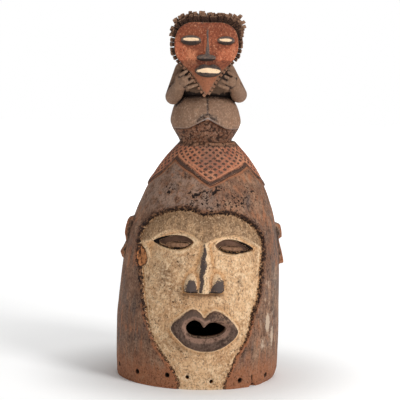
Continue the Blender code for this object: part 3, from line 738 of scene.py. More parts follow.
def legEdge(x):
    # the height of the sharp lower edge of the drawn-up legs, an upturned V
    return np.interp(np.abs(x), [0, 155, 200], [202, 116, 110])


def crouchingBody():
    heights = np.linspace(-60, 420, 190)
    wide = smoothCurve([(z, w) for z, w, _ in figure["bodyProfile"]], heights)
    deep = smoothCurve([(z, d) for z, _, d in figure["bodyProfile"]], heights)
    rows = []
    for z, w, d in zip(heights, wide, deep):
        x, y = levelRing(0, 0, w, d, 2.3, 220)
        front = ramp(-y, 0, 60)
        above = z - legEdge(x)
        undercut = 42 * (1 - ramp(above, -4, 5)) * ramp(z, -10, 40)
        lip = 9 * np.exp(-((above - 7) / 8) ** 2) * ramp(np.abs(x), 250, 190)
        furrow = 6 * np.exp(-((x - 3) / 9) ** 2) * ramp(above, 4, 30)
        band = 6 * np.exp(-((z - 22) / 6) ** 2)
        groove = np.sign(y) * ramp(np.abs(y), 0, 60) * band
        y = y + front * (undercut + furrow - lip) * ramp(np.abs(y), 0, 120) - groove
        points = figurePoint(x, y, np.full_like(x, z))
        rough = 0.0009 * roughness(points, 0.006, 71) * (1 - ramp(above, -4, 5))
        points[:, 1] += rough * front
        rows.append(points)
    return surfaceOfRows("body", np.array(rows))


def limb(name, path, radii, flat=1.0, around=28, rings=5):
    # a round limb along a path of points, with a radius in thousandths at each, rounded at both ends
    path, radii = np.array(path, float), np.array(radii, float) * unit
    capAngles = (1.45, 1.2, 0.9, 0.6, 0.3)
    ends = []
    for end, beside, radius in ((path[0], path[1], radii[0]), (path[-1], path[-2], radii[-1])):
        out = (end - beside) / np.linalg.norm(end - beside)
        ends.append([(end + out * radius * math.sin(q), radius * math.cos(q)) for q in capAngles])
    share = np.linspace(0, len(path) - 1, rings * (len(path) - 1) + 1)
    corners = np.arange(len(path))
    inside = np.stack([smoothCurve(np.column_stack([corners, path[:, k]]), share) for k in range(3)], -1)
    size = smoothCurve(np.column_stack([corners, radii]), share)
    line = np.array([p for p, _ in ends[0]] + list(inside) + [p for p, _ in ends[1][::-1]])
    size = np.array([r for _, r in ends[0]] + list(size) + [r for _, r in ends[1][::-1]])
    along = np.gradient(line, axis=0)
    along /= np.linalg.norm(along, axis=1)[:, None]
    side = np.cross(along, [0.0, 1.0, 0.02])
    side /= np.linalg.norm(side, axis=1)[:, None]
    over = np.cross(side, along)
    t = np.linspace(0, 2 * math.pi, around, endpoint=False)[None, :, None]
    ring = np.cos(t) * side[:, None] + flat * np.sin(t) * over[:, None]
    return surfaceOfRows(name, line[:, None] + size[:, None, None] * ring)


def ball(name, middle, radii):
    wide, deep, high = np.array(radii) * unit
    t = np.linspace(0.05, math.pi - 0.05, 40)
    turn = np.linspace(0, 2 * math.pi, 64, endpoint=False)
    q, a = np.meshgrid(t, turn, indexing="ij")
    rows = np.stack([middle[0] + wide * np.sin(q) * np.cos(a), middle[1] + deep * np.sin(q) * np.sin(a),
                     middle[2] + high * np.cos(q)], -1)
    return surfaceOfRows(name, rows)


def figureLimbs():
    rows = []
    for back, z, w, d in figure["torso"]:
        x, y = levelRing(0, back, w, d, 2.4, 72)
        rows.append(figurePoint(x, y, np.full_like(x, z)))
    forms = [surfaceOfRows("torso", np.array(rows)),
             ball("skull", figurePoint(0, -128, 772), (212, 190, 205)),
             limb("neck", [figurePoint(0, 0, 600), figurePoint(0, -60, 720)], (105, 105)),
             ball("knob", figurePoint(-4, -262, 205), (21, 20, 24))]
    for side, drop in ((-1, 0), (1, 26)):
        shoulder = figurePoint(side * 190, 4, 594)
        elbow = figurePoint(side * 274, -95, 372 + drop)
        wrist = figurePoint(side * 228, -285, 470)
        knuckles = figurePoint(side * 196, -328, 512)
        forms += [limb("upperArm", [shoulder, (shoulder + elbow) / 2, elbow], (64, 66, 68)),
                  limb("forearm", [elbow, (elbow + wrist) / 2, wrist], (68, 62, 50)),
                  limb("hand", [wrist, knuckles], (50, 44), flat=0.7),
                  ball("palm", figurePoint(side * 220, -306, 512), (50, 34, 66)),
                  limb("heel", [wrist, figurePoint(side * 160, -200, 446)], (38, 26))]
        for finger in range(4):
            root = figurePoint(side * (222 - 20 * finger), -336, 560 - 34 * finger)
            tip = figurePoint(side * (172 - 27 * finger), -340, 592 - 36 * finger)
            forms.append(limb("finger", [root, (root + tip) / 2, tip], (15.5, 15, 12), around=16))
    return forms


# The crest figure's heart-shaped face

crest = {
    # middle sideways and up, half width, half height: for the left and the right of the eyes and their slits
    "eyes": [(-133, 846, 86, 42), (154, 849, 74, 36)], "slits": [(-132, 853, 72, 14), (152, 853, 56, 13)],
    "lips": (15, 598, 113, 54), "lipSlit": (20, 600, 104, 21), "nose": (-6, 706, 82, 28),
}


def crestPlace(x, z):
    return (x - figureMiddle(figure["headLevel"])) / wideShare / unit, (z - tall) / unit


def squarish(u, v, mid, up, wide, high, across=2.6, upright=2.2):
    # how far inside a rounded oblong a place lies: 1 in its middle, 0 at its edge
    return 1 - (np.abs((u - mid) / wide) ** across + np.abs((v - up) / high) ** upright) ** 0.4


def crestMeasures(x, z):
    # how far inside each feature of the small face a place lies: 1 in its middle, 0 at its edge, less outside
    u, v = crestPlace(x, z)
    wave = 0.10 * grain(np.stack([x, 0 * x, z], -1), 0.0045, 91)
    lids = np.maximum(*(1 - np.hypot((u - mid) / wide, (v - up) / high)
                        for mid, up, wide, high in crest["eyes"]))
    slits = np.maximum(*(squarish(u, v, *slit) for slit in crest["slits"]))
    mid, up, wide, high = crest["lips"]
    bow = 9 * np.exp(-((np.abs(u - mid) - 48) / 26) ** 2) - 7 * np.exp(-((u - mid) / 18) ** 2)
    lips = 1 - np.hypot((u - mid) / wide, (v - up) / (high + np.where(v > up, bow, 0)))
    lipSlit = squarish(u, v - 4 * np.cos(u / 30), *crest["lipSlit"])
    base = squarish(u, v, *crest["nose"], 3, 2)
    middle = 4 * np.sin((v - 700) / 70)
    bridge = 1 - np.abs(u - middle) / (8 + 12 * ramp(v, 860, 700))
    bridge = bridge * ramp(-v, -930, -890) * ramp(v, 690, 720)
    return {"lids": lids, "slits": np.maximum(slits, lipSlit) + wave, "lips": lips,
            "nose": np.maximum(base, bridge), "base": base}


def rounded(inside):
    # the height of a half-round form, from how far inside it a place lies
    return np.sqrt(np.clip(1 - (1 - np.clip(inside, 0, 1)) ** 2, 0, 1))


def plateRelief(x, z):
    # lidded eyes, a thin nose with a wide base, and full lips
    u, v = crestPlace(x, z)
    m = crestMeasures(x, z)
    eyes = rounded(m["lids"])
    bridge = swell(u, v, 0, 800, 20, 110) * 0.75
    wings = 0.25 * (swell(u, v, -58, 704, 20, 20) + swell(u, v, 58, 704, 20, 20))
    base = rounded(m["base"]) * 1.25 + wings * (m["base"] > 0)
    lips = rounded(m["lips"]) * 1.15
    cut = 0.34 * ramp(m["slits"], 0.0, 0.25)
    hollow = swell(u, v, -140, 780, 110, 60) + swell(u, v, 140, 780, 110, 60)
    features = np.maximum(np.maximum(eyes, base), np.maximum(bridge, lips))
    rough = 0.25 * roughness(np.stack([x, 0 * x, z], -1), 0.003, 81) / 26
    return 26 * unit * (features - cut * (features > 0.05) - 0.25 * hollow + rough)


def facePlate():
    line = heartLine()
    middle = np.array([figureMiddle(figure["headLevel"]), tall + 720 * unit])
    front = figure["plateFront"] * unit
    shares = np.concatenate([np.linspace(0.01, 0.985, 90), [1.0]])
    rows = []
    for share in shares:
        flat = middle + (line - middle) * share
        relief = plateRelief(flat[:, 0], flat[:, 1]) * ramp(1 - share, 0, 0.1)
        y = front - figure["plateSwell"] * (1 - share ** 2) - relief
        rows.append(np.stack([flat[:, 0], y, flat[:, 1]], -1))
    for share in (1.0, 0.92, 0.6, 0.2):
        flat = middle + (line - middle) * share
        behind = np.full(len(flat), front + figure["plateThickness"])
        rows.append(np.stack([flat[:, 0], behind, flat[:, 1]], -1))
    return surfaceOfRows("plate", np.array(rows))


# One block from all of the carved forms

block = {"voxel": 0.0010, "triangles": 190000}


def carvedBlock():
    shell = helmetShell()
    tools = cutters()
    cut = shell.modifiers.new("openings", "BOOLEAN")
    cut.operation = "DIFFERENCE"
    cut.object = tools
    applyModifiers(shell)
    bpy.data.objects.remove(tools)
    print("shell cut", len(shell.data.polygons))
    piece = joined("mask_carving", [shell, crouchingBody(), facePlate(), *figureLimbs()])
    fuse = piece.modifiers.new("fuse", "REMESH")
    fuse.mode = "VOXEL"
    fuse.voxel_size = block["voxel"]
    applyModifiers(piece)
    print("fused", len(piece.data.polygons))
    thin = piece.modifiers.new("thin", "DECIMATE")
    thin.ratio = block["triangles"] / (2 * len(piece.data.polygons))
    applyModifiers(piece)
    print("thinned", len(piece.data.polygons))
    return piece


def curvature(mesh, places, rounds):
    # how far each point stands out of the average of its surroundings, along its normal, in metres
    edges = np.zeros(2 * len(mesh.edges), np.int64)
    mesh.edges.foreach_get("vertices", edges)
    a, b = edges.reshape(-1, 2).T
    count = np.bincount(a, minlength=len(places)) + np.bincount(b, minlength=len(places))
    smooth = places.copy()
    for _ in range(rounds):
        total = np.stack([np.bincount(a, smooth[b, k], len(places))
                          + np.bincount(b, smooth[a, k], len(places)) for k in range(3)], -1)
        smooth = 0.4 * smooth + 0.6 * total / np.maximum(count, 1)[:, None]
    normals = np.zeros(3 * len(places))
    mesh.vertices.foreach_get("normal", normals)
    return np.sum((places - smooth) * normals.reshape(-1, 3), -1)


# Stains on the chalk, the last of them painted shade under the nose: middle sideways and up, half width and
# half height in metres, strength
stainsAndShade = [(-0.058, 0.163, 0.013, 0.026, 0.9), (-0.040, 0.186, 0.016, 0.012, 0.6),
          (-0.079, 0.157, 0.003, 0.008, 1.0), (0.054, 0.158, 0.003, 0.009, 1.0),
          (-0.050, 0.150, 0.022, 0.010, 0.5), (0.074, 0.200, 0.010, 0.018, 0.5),
          (-0.012, 0.066, 0.050, 0.006, 0.45), (-0.062, 0.195, 0.022, 0.010, 0.5),
          # painted shade under the nose's flat base
          (-0.001, 0.1392, 0.022, 0.0024, 1.0)]

# Pale scuffs on the hood's right side, in the same way
scuffs = [(0.100, 0.092, 0.004, 0.014, 1.0), (0.108, 0.070, 0.003, 0.020, 0.7),
          (0.092, 0.060, 0.004, 0.016, 0.5)]


# The dark streak down the nose: its middle and half width in metres, at shares of the helmet's height
streak = {"middle": ([0.41, 0.46, 0.52, 0.56, 0.60], [-0.0044, -0.0036, -0.0016, 0.0, 0.0008]),
          "wide": ([0.41, 0.46, 0.48, 0.51, 0.55, 0.595], [0.0022, 0.0032, 0.0030, 0.0054, 0.0042, 0.001])}


def noseMarks(x, z, middle):
    # each wing is dark in a rough triangle on the nose's flat base, and a ragged streak runs down the ridge
    h = tall
    rise = (z / h - 0.405) / 0.054
    wings = -1
    for out, share, slant in ((-0.055, 0.028, 0.002), (0.049, 0.034, 0.016)):
        wide = share * h * (1.05 - 0.62 * np.clip(rise, 0, 1) ** 1.5)
        wing = 1 - np.abs(x - middle - (out + slant * rise) * h) / wide
        wings = np.maximum(wings, np.minimum(wing * 1.6, np.minimum(rise / 0.04, (1 - rise) / 0.3)))
    fromStreak = np.abs(x - np.interp(z / h, *streak["middle"]) - 0.0007 * np.sin(z / 0.0035))
    down = 1 - fromStreak / np.interp(z / h, *streak["wide"])
    down = np.minimum(down, np.minimum((z - 0.408 * h) / 0.002, (0.602 * h - z) / 0.006))
    return np.clip(np.maximum(wings, np.clip(down, -1, 0.6)), -1, 1)


def markBlock(piece):
    # what the finish needs to know at each point, its distances to carved and painted edges in millimetres
    mesh = piece.data
    p = vertexPlaces(mesh)
    x, y, z = p.T
    h = tall
    wide = halfWidth(z)
    across, back = (x - leanAt(z)) / wide, y / (wide * deepShare)
    angle = np.arctan2(across, -back)
    figureFrom = 0.985 * h
    outside = (np.hypot(across, back) > 1 - (helmet["wall"] - 0.002) / wide) | (z > h - helmet["crown"])
    onHelmet = outside & (z < figureFrom)
    frontal = onHelmet & (y < 0)
    m = faceMeasures(x, z)
    points = np.stack([wide * np.sin(angle), -wide * np.cos(angle), z], -1)
    above, net = collarMeasures(angle, z)
    pits, _, nearness = damageAt(angle, z, points)
    middle = noseMiddle(z)
    # from the edge of the nearest lacing hole
    holes = np.full(z.shape, 0.05)
    for degrees, up in helmet["laceHoles"]:
        turned = np.remainder(angle - math.radians(degrees) + math.pi, 2 * math.pi) - math.pi
        holes = np.minimum(holes, np.hypot(turned * wide, z - up) - helmet["laceHoleDiameter"] / 2)
    heart = insideDistance(x, z, heartLine())
    c = crestMeasures(x, z)
    onPlate = (y < (figure["plateFront"] + 14) * unit) & (z > h + 0.39 * figure["height"]) & (heart > -0.0002)
    u = (x - figureMiddle((z - h) / unit)) / unit / wideShare
    v = (z - h) / unit
    onLegs = (z > figureFrom) & (y < -0.01) & (v < 340)

    # a distance's name, the distance in metres, where it holds, and what stands elsewhere
    far = -0.05
    distances = [
        ("faceEdge", m.edge, frontal, far), ("lipEdge", m.lips, frontal, far),
        ("mouthEdge", m.mouth, frontal, far), ("eyeEdge", m.eyes, frontal, far),
        ("eyeUp", m.ballUp, True, far), ("browEdge", m.brow, frontal, 0.1),
        ("chipEdge", m.chip, frontal & (m.edge > -0.006), far),
        ("noseBase", z - 0.405 * h, frontal & (np.abs(x - middle) < 0.088 * h), 0.05),
        ("collarEdge", above, onHelmet, far), ("holeEdge", holes, onHelmet, 0.05),
        ("crestEdge", heart, onPlate, far), ("legEdge", (v - legEdge(u)) * unit, onLegs, 200 * unit),
        ("bend", curvature(mesh, p, 5), True, 0), ("hollow", curvature(mesh, p, 40), True, 0),
    ]
    values = {name: np.where(area, value, elsewhere) * 1000 for name, value, area, elsewhere in distances}
    values |= {
        "eyeBall": np.where(frontal, np.clip(m.ball, -1, 1), -1),
        "noseDark": np.where(frontal, noseMarks(x, z, middle), -1),
        "damageNear": np.where(onHelmet & (m.edge < 0), nearness, 0) * (above < 0),
        "damage": np.where(onHelmet & ((m.edge < 0) | (y > 0)), pits, 0) * (above < 0),
        "netDepth": np.where(onHelmet, net, 0),
        "figurePart": np.where(z > figureFrom, 1.0, 0.0),
        "inside": np.where(outside, 0.0, 1.0),
        "legTop": swell(u, v, -4, 190, 75, 60),
        # behind the arms and above the knees, where the figure is in deep shade
        "recess": ramp(-np.abs(y + 0.020), -0.026, -0.022) * ramp(z, h + 0.064, h + 0.074)
        * ramp(-z, -h - 0.112, -h - 0.102) * ramp(-np.abs(x), -0.044, -0.038),
    }
    for name in ("lids", "lips", "nose", "slits"):
        values["crest" + name.capitalize()] = np.where(onPlate, np.clip(c[name], -1, 1), -1)
    for name, spots in (("stain", stainsAndShade), ("scuff", scuffs)):
        values[name] = np.zeros_like(z)
        for midX, midZ, wideX, highZ, strength in spots:
            spot = strength * swell(x, z, midX, midZ, wideX, highZ) * (y < 0)
            values[name] = np.maximum(values[name], spot)
    for name, value in values.items():
        storeValues(mesh, name, value)
    return list(values)


def insideSolidBox(piece):
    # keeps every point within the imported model's box
    low, high = (np.array(corner) for corner in solidBox)
    places = np.clip(vertexPlaces(piece.data) + place, low, high)
    piece.data.vertices.foreach_set("co", places.ravel())
    piece.data.update()


mask = carvedBlock()
marks = markBlock(mask)
insideSolidBox(mask)
mask.data.shade_smooth()
print("mask carved", len(mask.data.polygons))


# The fringe of cut hide round the crest face

fringe = {
    "stripThickness": 0.0022, "setback": 0.0013, "tabWidth": 0.0054, "tabPitch": 0.0063,
    # rows from the front: how far back, how thick, share of the length, shift along the row in tabs, tones
    "rows": [(0.0, 0.0022, 0.58, 0.0, 0.0, 0.12), (0.0020, 0.0022, 0.82, 0.5, 0.1, 0.6),
             (0.0040, 0.0022, 1.0, 0.2, 0.3, 1.0), (0.0058, 0.0020, 0.92, 0.7, 0.3, 1.0)],
    "topLength": 0.0126, "sideLength": 0.0042, "jawLength": 0.0018, "lifted": 0.006, "seed": 12,
}


def tabLength(high):
    nub = fringe["jawLength"] + (fringe["sideLength"] - fringe["jawLength"]) * ramp(high, 0.66, 0.74)
    return nub + (fringe["topLength"] - fringe["sideLength"]) * ramp(high, 0.84, 0.97)


def makeFringe():
    # small bent blocks, each a chamfered cross-section carried outwards, set in rows along the heart's edge
    line = heartLine()
    step = np.roll(line, -1, 0) - np.roll(line, 1, 0)
    step /= np.linalg.norm(step, axis=1)[:, None]
    ways = np.stack([step[:, 1], -step[:, 0]], -1)
    ways *= np.sign(np.sum(ways * (line - line.mean(0))))
    loop, ways = np.vstack([line, line[:1]]), np.vstack([ways, ways[:1]])
    along = np.concatenate([[0], np.cumsum(np.linalg.norm(np.diff(loop, axis=0), axis=1))])
    random = np.random.default_rng(fringe["seed"])
    front = figure["plateFront"] * unit + fringe["setback"]
    corner = np.array([(-1, -0.6), (-0.8, -1), (0.8, -1), (1, -0.6), (1, 0.6), (0.8, 1), (-0.8, 1),
                       (-1, 0.6)])
    stations = np.array([0.0, 0.35, 0.7, 0.93, 1.0])
    taper = np.array([0.94, 1.0, 1.03, 1.0, 0.86])
    points, faces, tones, heights, levels = [], [], [], [], []
    count = round(along[-1] / fringe["tabPitch"])
    for back, thick, share, shift, darkest, palest in fringe["rows"]:
        number = np.arange(count) + random.uniform(-0.12, 0.12, count)
        level = np.interp(number / count * along[-1], along, loop[:, 1])
        number = number + shift * ramp((level - tall) / figure["height"], 0.84, 0.95)
        at = number / count * along[-1] % along[-1]
        base = np.stack([np.interp(at, along, loop[:, k]) for k in (0, 1)], -1)
        out = np.stack([np.interp(at, along, ways[:, k]) for k in (0, 1)], -1)
        out /= np.linalg.norm(out, axis=1)[:, None]
        high = (base[:, 1] - tall) / figure["height"]
        lift = fringe["lifted"] * ramp(out[:, 0], 0.25, 0.6) * ramp(out[:, 1], 0.3, 0.6)
        uneven = 1 + 0.17 * random.uniform(-1, 1, count)
        length = tabLength(high) * share * uneven + lift * share + fringe["stripThickness"]
        turn = np.radians(random.uniform(-9, 9, count))
        c, s = np.cos(turn), np.sin(turn)
        out = np.stack([out[:, 0] * c - out[:, 1] * s, out[:, 0] * s + out[:, 1] * c], -1)
        sideways = np.stack([-out[:, 1], out[:, 0]], -1)
        width = fringe["tabWidth"] * (1 + 0.16 * random.uniform(-1, 1, count))
        width = np.where(high < 0.7, width * 0.72, width)
        depth = thick * (1 + 0.15 * random.uniform(-1, 1, count))
        bend = 0.10 * random.uniform(-1, 1, count)
        reach = stations[None, :] * length[:, None]
        bow = bend[:, None] * reach ** 2 / np.maximum(length, 1e-4)[:, None]
        half = 0.5 * width[:, None, None] * taper[None, :, None] * corner[None, None, :, 0]
        flat = base[:, None, None] + out[:, None, None] * reach[:, :, None, None] \
            + sideways[:, None, None] * (half[..., None] + bow[:, :, None, None])
        y = front + back + 0.5 * thick + 0.5 * depth[:, None, None] * corner[None, None, :, 1] \
            + 0.25 * bow[:, :, None]
        grid = np.stack([flat[..., 0], np.broadcast_to(y, flat.shape[:-1]), flat[..., 1]], -1)
        start = sum(len(b) for b in points)
        rings, around = len(stations), len(corner)
        points.append(grid.reshape(-1, 3))
        tones.append(np.repeat(random.uniform(darkest, palest, count), rings * around))
        levels.append(np.repeat(high, rings * around))
        heights.append(np.tile(np.repeat(stations, around), count))
        i = np.arange(around)
        j = (i + 1) % around
        sides = [(r * around + a, r * around + b, (r + 1) * around + b, (r + 1) * around + a)
                 for r in range(rings - 1) for a, b in zip(i, j)]
        caps = [tuple(range(around - 1, -1, -1)), tuple(range((rings - 1) * around, rings * around))]
        for k in range(count):
            offset = start + k * rings * around
            faces += [tuple(offset + v for v in f) for f in sides + caps]
    places = np.concatenate(points)
    piece = makeObject("fringe_tabs", places, faces)
    storeValues(piece.data, "tabTone", np.concatenate(tones))
    storeValues(piece.data, "tabHeight", np.concatenate(heights))
    storeValues(piece.data, "tabLevel", np.concatenate(levels))
    return piece


tabs = makeFringe()
insideSolidBox(tabs)
print("fringe made", len(tabs.data.polygons))


# Finishes: each tone as a painter's red, green and blue, then made linear

tones = {
    # wood
    "deep": (54, 39, 32), "brown": (114, 84, 67), "tan": (160, 126, 101),
    "slate": (110, 96, 89), "orange": (162, 104, 72), "red": (126, 90, 70),
    # the pit tone is the black of real pits, and also of painted shade in holes, hollows and under features
    "dust": (196, 174, 152), "pitAndShade": (30, 21, 18), "raw": (186, 124, 80),
    "crumb": (112, 80, 58), "ash": (150, 139, 134), "haze": (150, 125, 110),
    # chalky paint
    "cream": (206, 165, 124), "light": (232, 201, 163), "ochre": (178, 135, 96),
    "umber": (112, 86, 65), "dirt": (78, 56, 42), "gold": (202, 148, 96),
    "thinDark": (116, 89, 66), "thinPale": (178, 142, 106), "ledge": (150, 110, 70),
    # the large face's features
    "lip": (97, 78, 68), "lipInner": (152, 120, 103), "noseSlate": (84, 73, 69),
    # socket is the near-black of the painted shadow in the eye hollows, and of the line below each eyeball
    "socket": (20, 13, 10), "ballDark": (100, 73, 56), "ballPale": (146, 110, 85),
    # the crest's face
    "crestRed": (166, 92, 64), "crestOrange": (190, 120, 86), "crestDark": (108, 55, 38),
    "crestGrey": (80, 71, 68), "crestWhite": (234, 202, 167),
    # the collar
    "netOrange": (192, 130, 98), "netRed": (168, 103, 77), "slot": (122, 95, 82),
    "border": (60, 48, 43),
    # the cut hide
    "hideDark": (56, 38, 29), "hidePale": (140, 106, 84), "hideRoot": (34, 22, 17),
    "hideTip": (156, 122, 98), "hideFleck": (150, 104, 76), "hideLow": (166, 122, 96),
    "hidePore": (40, 26, 20),
}
tones = {name: paint(*parts) for name, parts in tones.items()}


def woodColour(f, n):
    # brown patina in several tones, greyer where it is thick and tan where it is rubbed
    # the right side low down is rubbed pale in upright streaks
    rubbed = f.both(f.between(n.side, 0.068, 0.100), f.between(n.up, 0.200, 0.130))
    dome = f.both(f.between(n.up, 0.240, 0.275), f.between(n.side, 0.030, -0.010))
    pitted = f.between(n.damageNear, 0.10, 0.55)
    return f.layers("brown", [
        ("red", n.patchy + n.fineOff * 0.4, 0.25, 0.75, 1),
        ("slate", n.broad + n.streaksOff * 0.6, 0.45, 0.85, 0.85),
        ("deep", n.streaks + n.broadOff * 0.4, 0.60, 0.90, 0.65),
        ("tan", n.patchy + n.streaksOff * 0.4 + n.fineOff * 0.5, 0.52, 0.90, 0.8),
        ("tan", n.cloudy + n.gritOff * 0.5, 0.62, 0.90, 0.6),
        ("deep", n.cloudy + n.gritOff * 0.6, 0.36, 0.06, 0.75),
        ("tan", n.lines + n.patchyOff * 1.4, 0.25, 0.70, 0.70, rubbed),
        ("dust", n.lines + n.cloudyOff * 1.4, 0.70, 1.05, 0.7, rubbed),
        ("slate", n.streaks + n.cloudyOff * 0.8, 0.40, 0.15, 0.7, rubbed),
        # orange-brown where the patina has gone: near the rim and on worn edges
        ("orange", n.up + n.patchyOff * 0.034, 0.056, 0.016, 0.8),
        ("orange", n.bend + n.patchyOff * 0.10, 0.07, 0.22, 0.8, 1 - n.damageNear * 0.8),
        ("deep", n.lines, 0.80, 1.00, 0.4),
        ("haze", n.cloudy, 0.25, 0.65, 0.75, dome),
        ("tan", n.grit, 0.60, 0.95, 0.55),
        ("deep", n.grit, 0.42, 0.08, 0.75),
        ("deep", n.bend + n.fineOff * 0.05, -0.06, -0.24, 0.85),
        ("deep", n.specks, 0.82, 0.92, 0.7),
        ("tan", n.dots, 0.58, 0.90, 0.40),
        ("deep", n.dots, 0.44, 0.14, 0.50),
        ("pitAndShade", n.specks + n.fineOff * 0.3, 0.65, 0.75, 0.95, pitted),
        # painted shade in and round the lacing holes
        ("pitAndShade", n.holeEdge + n.fineOff * 0.6, 1.5, 0.5, 0.85),
        ("dust", n.scuff + n.gritOff * 0.5, 0.30, 0.55, 0.9),
    ])


def collarColour(f, n):
    # an orange-red net with dark meshes, much of it worn through, and a grey border
    edge = n.collarEdge
    cords = f.layers("netOrange", [
        ("netRed", n.patchy + n.gritOff * 0.6, 0.25, 0.75, 1),
        ("slot", n.broad + n.gritOff * 0.5, 0.45, 0.85, 0.5),
        ("slot", n.netDepth + n.gritOff * 0.5 + n.patchyOff * 0.3, 0.25, 0.60, 0.8),
    ])
    band = f.layers("border", [("tan", n.grit + n.patchyOff * 0.6, 0.55, 0.95, 0.7)])
    cords = f.mix(f.span(edge + n.fineOff + n.patchyOff * 1.6, -0.2, 0.4, 4.4, 5.2) * 0.92, cords, band)
    return f.layers(cords, [
        ("netOrange", n.patchy, 0.3, 0.6, 0.7, f.span(edge, 6.6, 7.2, 8.2, 8.8)),
        ("deep", n.bend, -0.03, -0.16, 0.7),
        ("pitAndShade", n.specks + n.fineOff * 0.2, 0.72, 0.84, 0.75),
    ])


def chalkColour(f, n):
    # chalky paint over brown wood: stained, speckled and thin on the forehead and at its edges
    brow, eyeEdge = n.browEdge, n.eyeEdge
    forehead = f.between(brow + n.patchyOff * 3, 3.0, -1.5)
    lower = 1 - forehead
    chalk = f.layers("cream", [
        ("ochre", n.patchy + n.broadOff * 0.6, 0.25, 0.80, 0.8),
        ("light", n.cloudy, 0.45, 0.85, 0.65),
    ])
    thin = f.layers("thinDark", [
        ("thinPale", n.streaks * 0.5 + n.lines * 0.25 + n.fine * 0.25, 0.30, 0.80, 1),
        ("thinDark", brow + n.patchyOff * 5, -16.0, -26.0, 0.55),
    ])
    chalk = f.mix(forehead * 0.96, chalk, thin)
    # umber and dark specks in the stains, and as painted shade under the nose's base
    chalk = f.layers(chalk, [
        ("umber", n.grit + n.patchyOff * 0.5, 0.25, 0.60, 0.9, n.stain),
        ("dirt", n.specks + n.fineOff * 0.3, 0.66, 0.78, 0.8, n.stain),
        ("gold", n.hollow + n.patchyOff * 0.4, -0.10, -0.9, 0.55, lower),
        ("ochre", n.faceEdge + n.patchyOff * 4, 7.0, 1.5, 0.75),
    ])
    # painted highlight on the brow's ridge and on every small bump
    chalk = f.mix(f.span(brow, 0.0, 2.5, 4.5, 6.5) * 0.45, chalk, tones["light"])
    chalk = f.layers(chalk, [
        ("light", n.bend + n.fineOff * 0.05, 0.05, 0.16, 0.75, 1 - forehead * 0.9),
        ("light", n.grit, 0.55, 0.90, 0.5, lower),
        ("umber", n.grit, 0.44, 0.06, 0.8, 1 - forehead * 0.6),
        ("dirt", n.specks + n.patchyOff * 0.25, 0.80, 0.92, 0.8),
        ("light", n.dots, 0.58, 0.90, 0.40),
        ("dirt", n.dots, 0.44, 0.12, 0.55),
    ])

    # eyes: painted shadow, near black, in the hollow above a bare brown eyeball and over the eyeball's top,
    # and a dotted brown line below it
    ball = f.layers("ballDark", [
        ("ballPale", n.grit + n.patchyOff * 0.5, 0.15, 0.75, 1),
        # the eyeball's top darkened as painted shadow
        ("socket", n.eyeUp + n.fineOff, 1.2, 3.8, 0.9),
    ])
    below = f.layers("socket", [("ledge", n.grit + n.fineOff * 0.6, 0.45, 0.75, 1)])
    # painted shadow in the hollow above the eyeball, brown below it
    hollow = f.mix(f.between(n.eyeUp + n.fineOff * 1.5, 0.5, -1.5), tones["socket"], below)
    eye = f.mix(f.between(n.eyeBall + n.fineOff * 0.10, 0.0, 0.10), hollow, ball)
    under = f.both(f.between(eyeEdge + n.gritOff * 1.6, -3.2, -1.2), f.between(n.eyeUp, 0.0, -3.0))
    chalk = f.layers(chalk, [("ledge", n.patchy, 0.1, 0.6, 0.75, under)])
    chalk = f.mix(f.between(eyeEdge + n.fineOff * 0.7, -0.3, 0.3), chalk, eye)
    lidLine = f.both(f.span(eyeEdge + n.fineOff * 1.2, -0.9, -0.2, 0.9, 1.6), f.between(n.eyeUp, -1.0, -2.5))
    chalk = f.layers(chalk, [("socket", n.grit + n.fineOff * 0.4, 0.28, 0.52, 0.9, lidLine)])

    # the nose's flat base: a worn brown ledge, with painted shadow in umber below it
    base = n.noseBase + n.fineOff * 0.8
    chalk = f.mix(f.span(base, -3.2, -2.6, -0.3, 0.3) * 0.85, chalk, tones["ledge"])
    # painted shadow just below the ledge
    shadow = f.both(f.between(base + n.patchyOff * 2.0, -7.0, -4.2), f.between(base, -2.4, -3.0))
    chalk = f.mix(shadow * 0.75, chalk, tones["umber"])
    nose = f.between(n.noseDark + n.fineOff * 0.7 + n.gritOff + n.patchyOff * 0.5, 0.0, 0.15)
    chalk = f.mix(nose, chalk, f.layers("noseSlate", [("ochre", n.grit, 0.60, 1.0, 0.5)]))
    # painted shadow: a black line along the foot of the nose's dark wings
    foot = f.span(base, -0.3, 0.4, 2.2, 3.2) * nose
    chalk = f.layers(chalk, [("pitAndShade", n.grit, 0.25, 0.55, 0.9, foot)])

    # lips: slate paint, worn pinkish brown on their inner bevel, with a paler line of paint round them, and
    # painted shade, near black, on the walls of the mouth's opening
    rim = f.span(n.lipEdge, -3.6, -1.4, -0.4, 0.2)
    chalk = f.layers(chalk, [("light", n.grit + n.patchyOff * 0.8, 0.0, 0.5, 0.65, rim)])
    rubbed = f.both(f.between(n.side, 0.000, 0.030), f.between(n.up, 0.092, 0.100))
    lip = f.layers("lip", [
        ("lipInner", n.mouthEdge + n.fineOff * 1.6 + n.patchyOff * 3.0, -7.5, -5.0, 0.85),
        ("deep", n.grit + n.patchyOff * 0.8, 0.55, 0.10, 0.8),
        ("tan", n.grit, 0.35, 0.75, 0.6, rubbed),
        ("tan", n.grit, 0.62, 0.95, 0.45),
        # painted shade, near black, on the walls of the mouth's opening
        ("pitAndShade", n.mouthEdge, -0.8, 0.5, 1),
    ])
    return f.mix(f.between(n.lipEdge + n.fineOff * 0.9, -0.4, 0.2), chalk, lip)


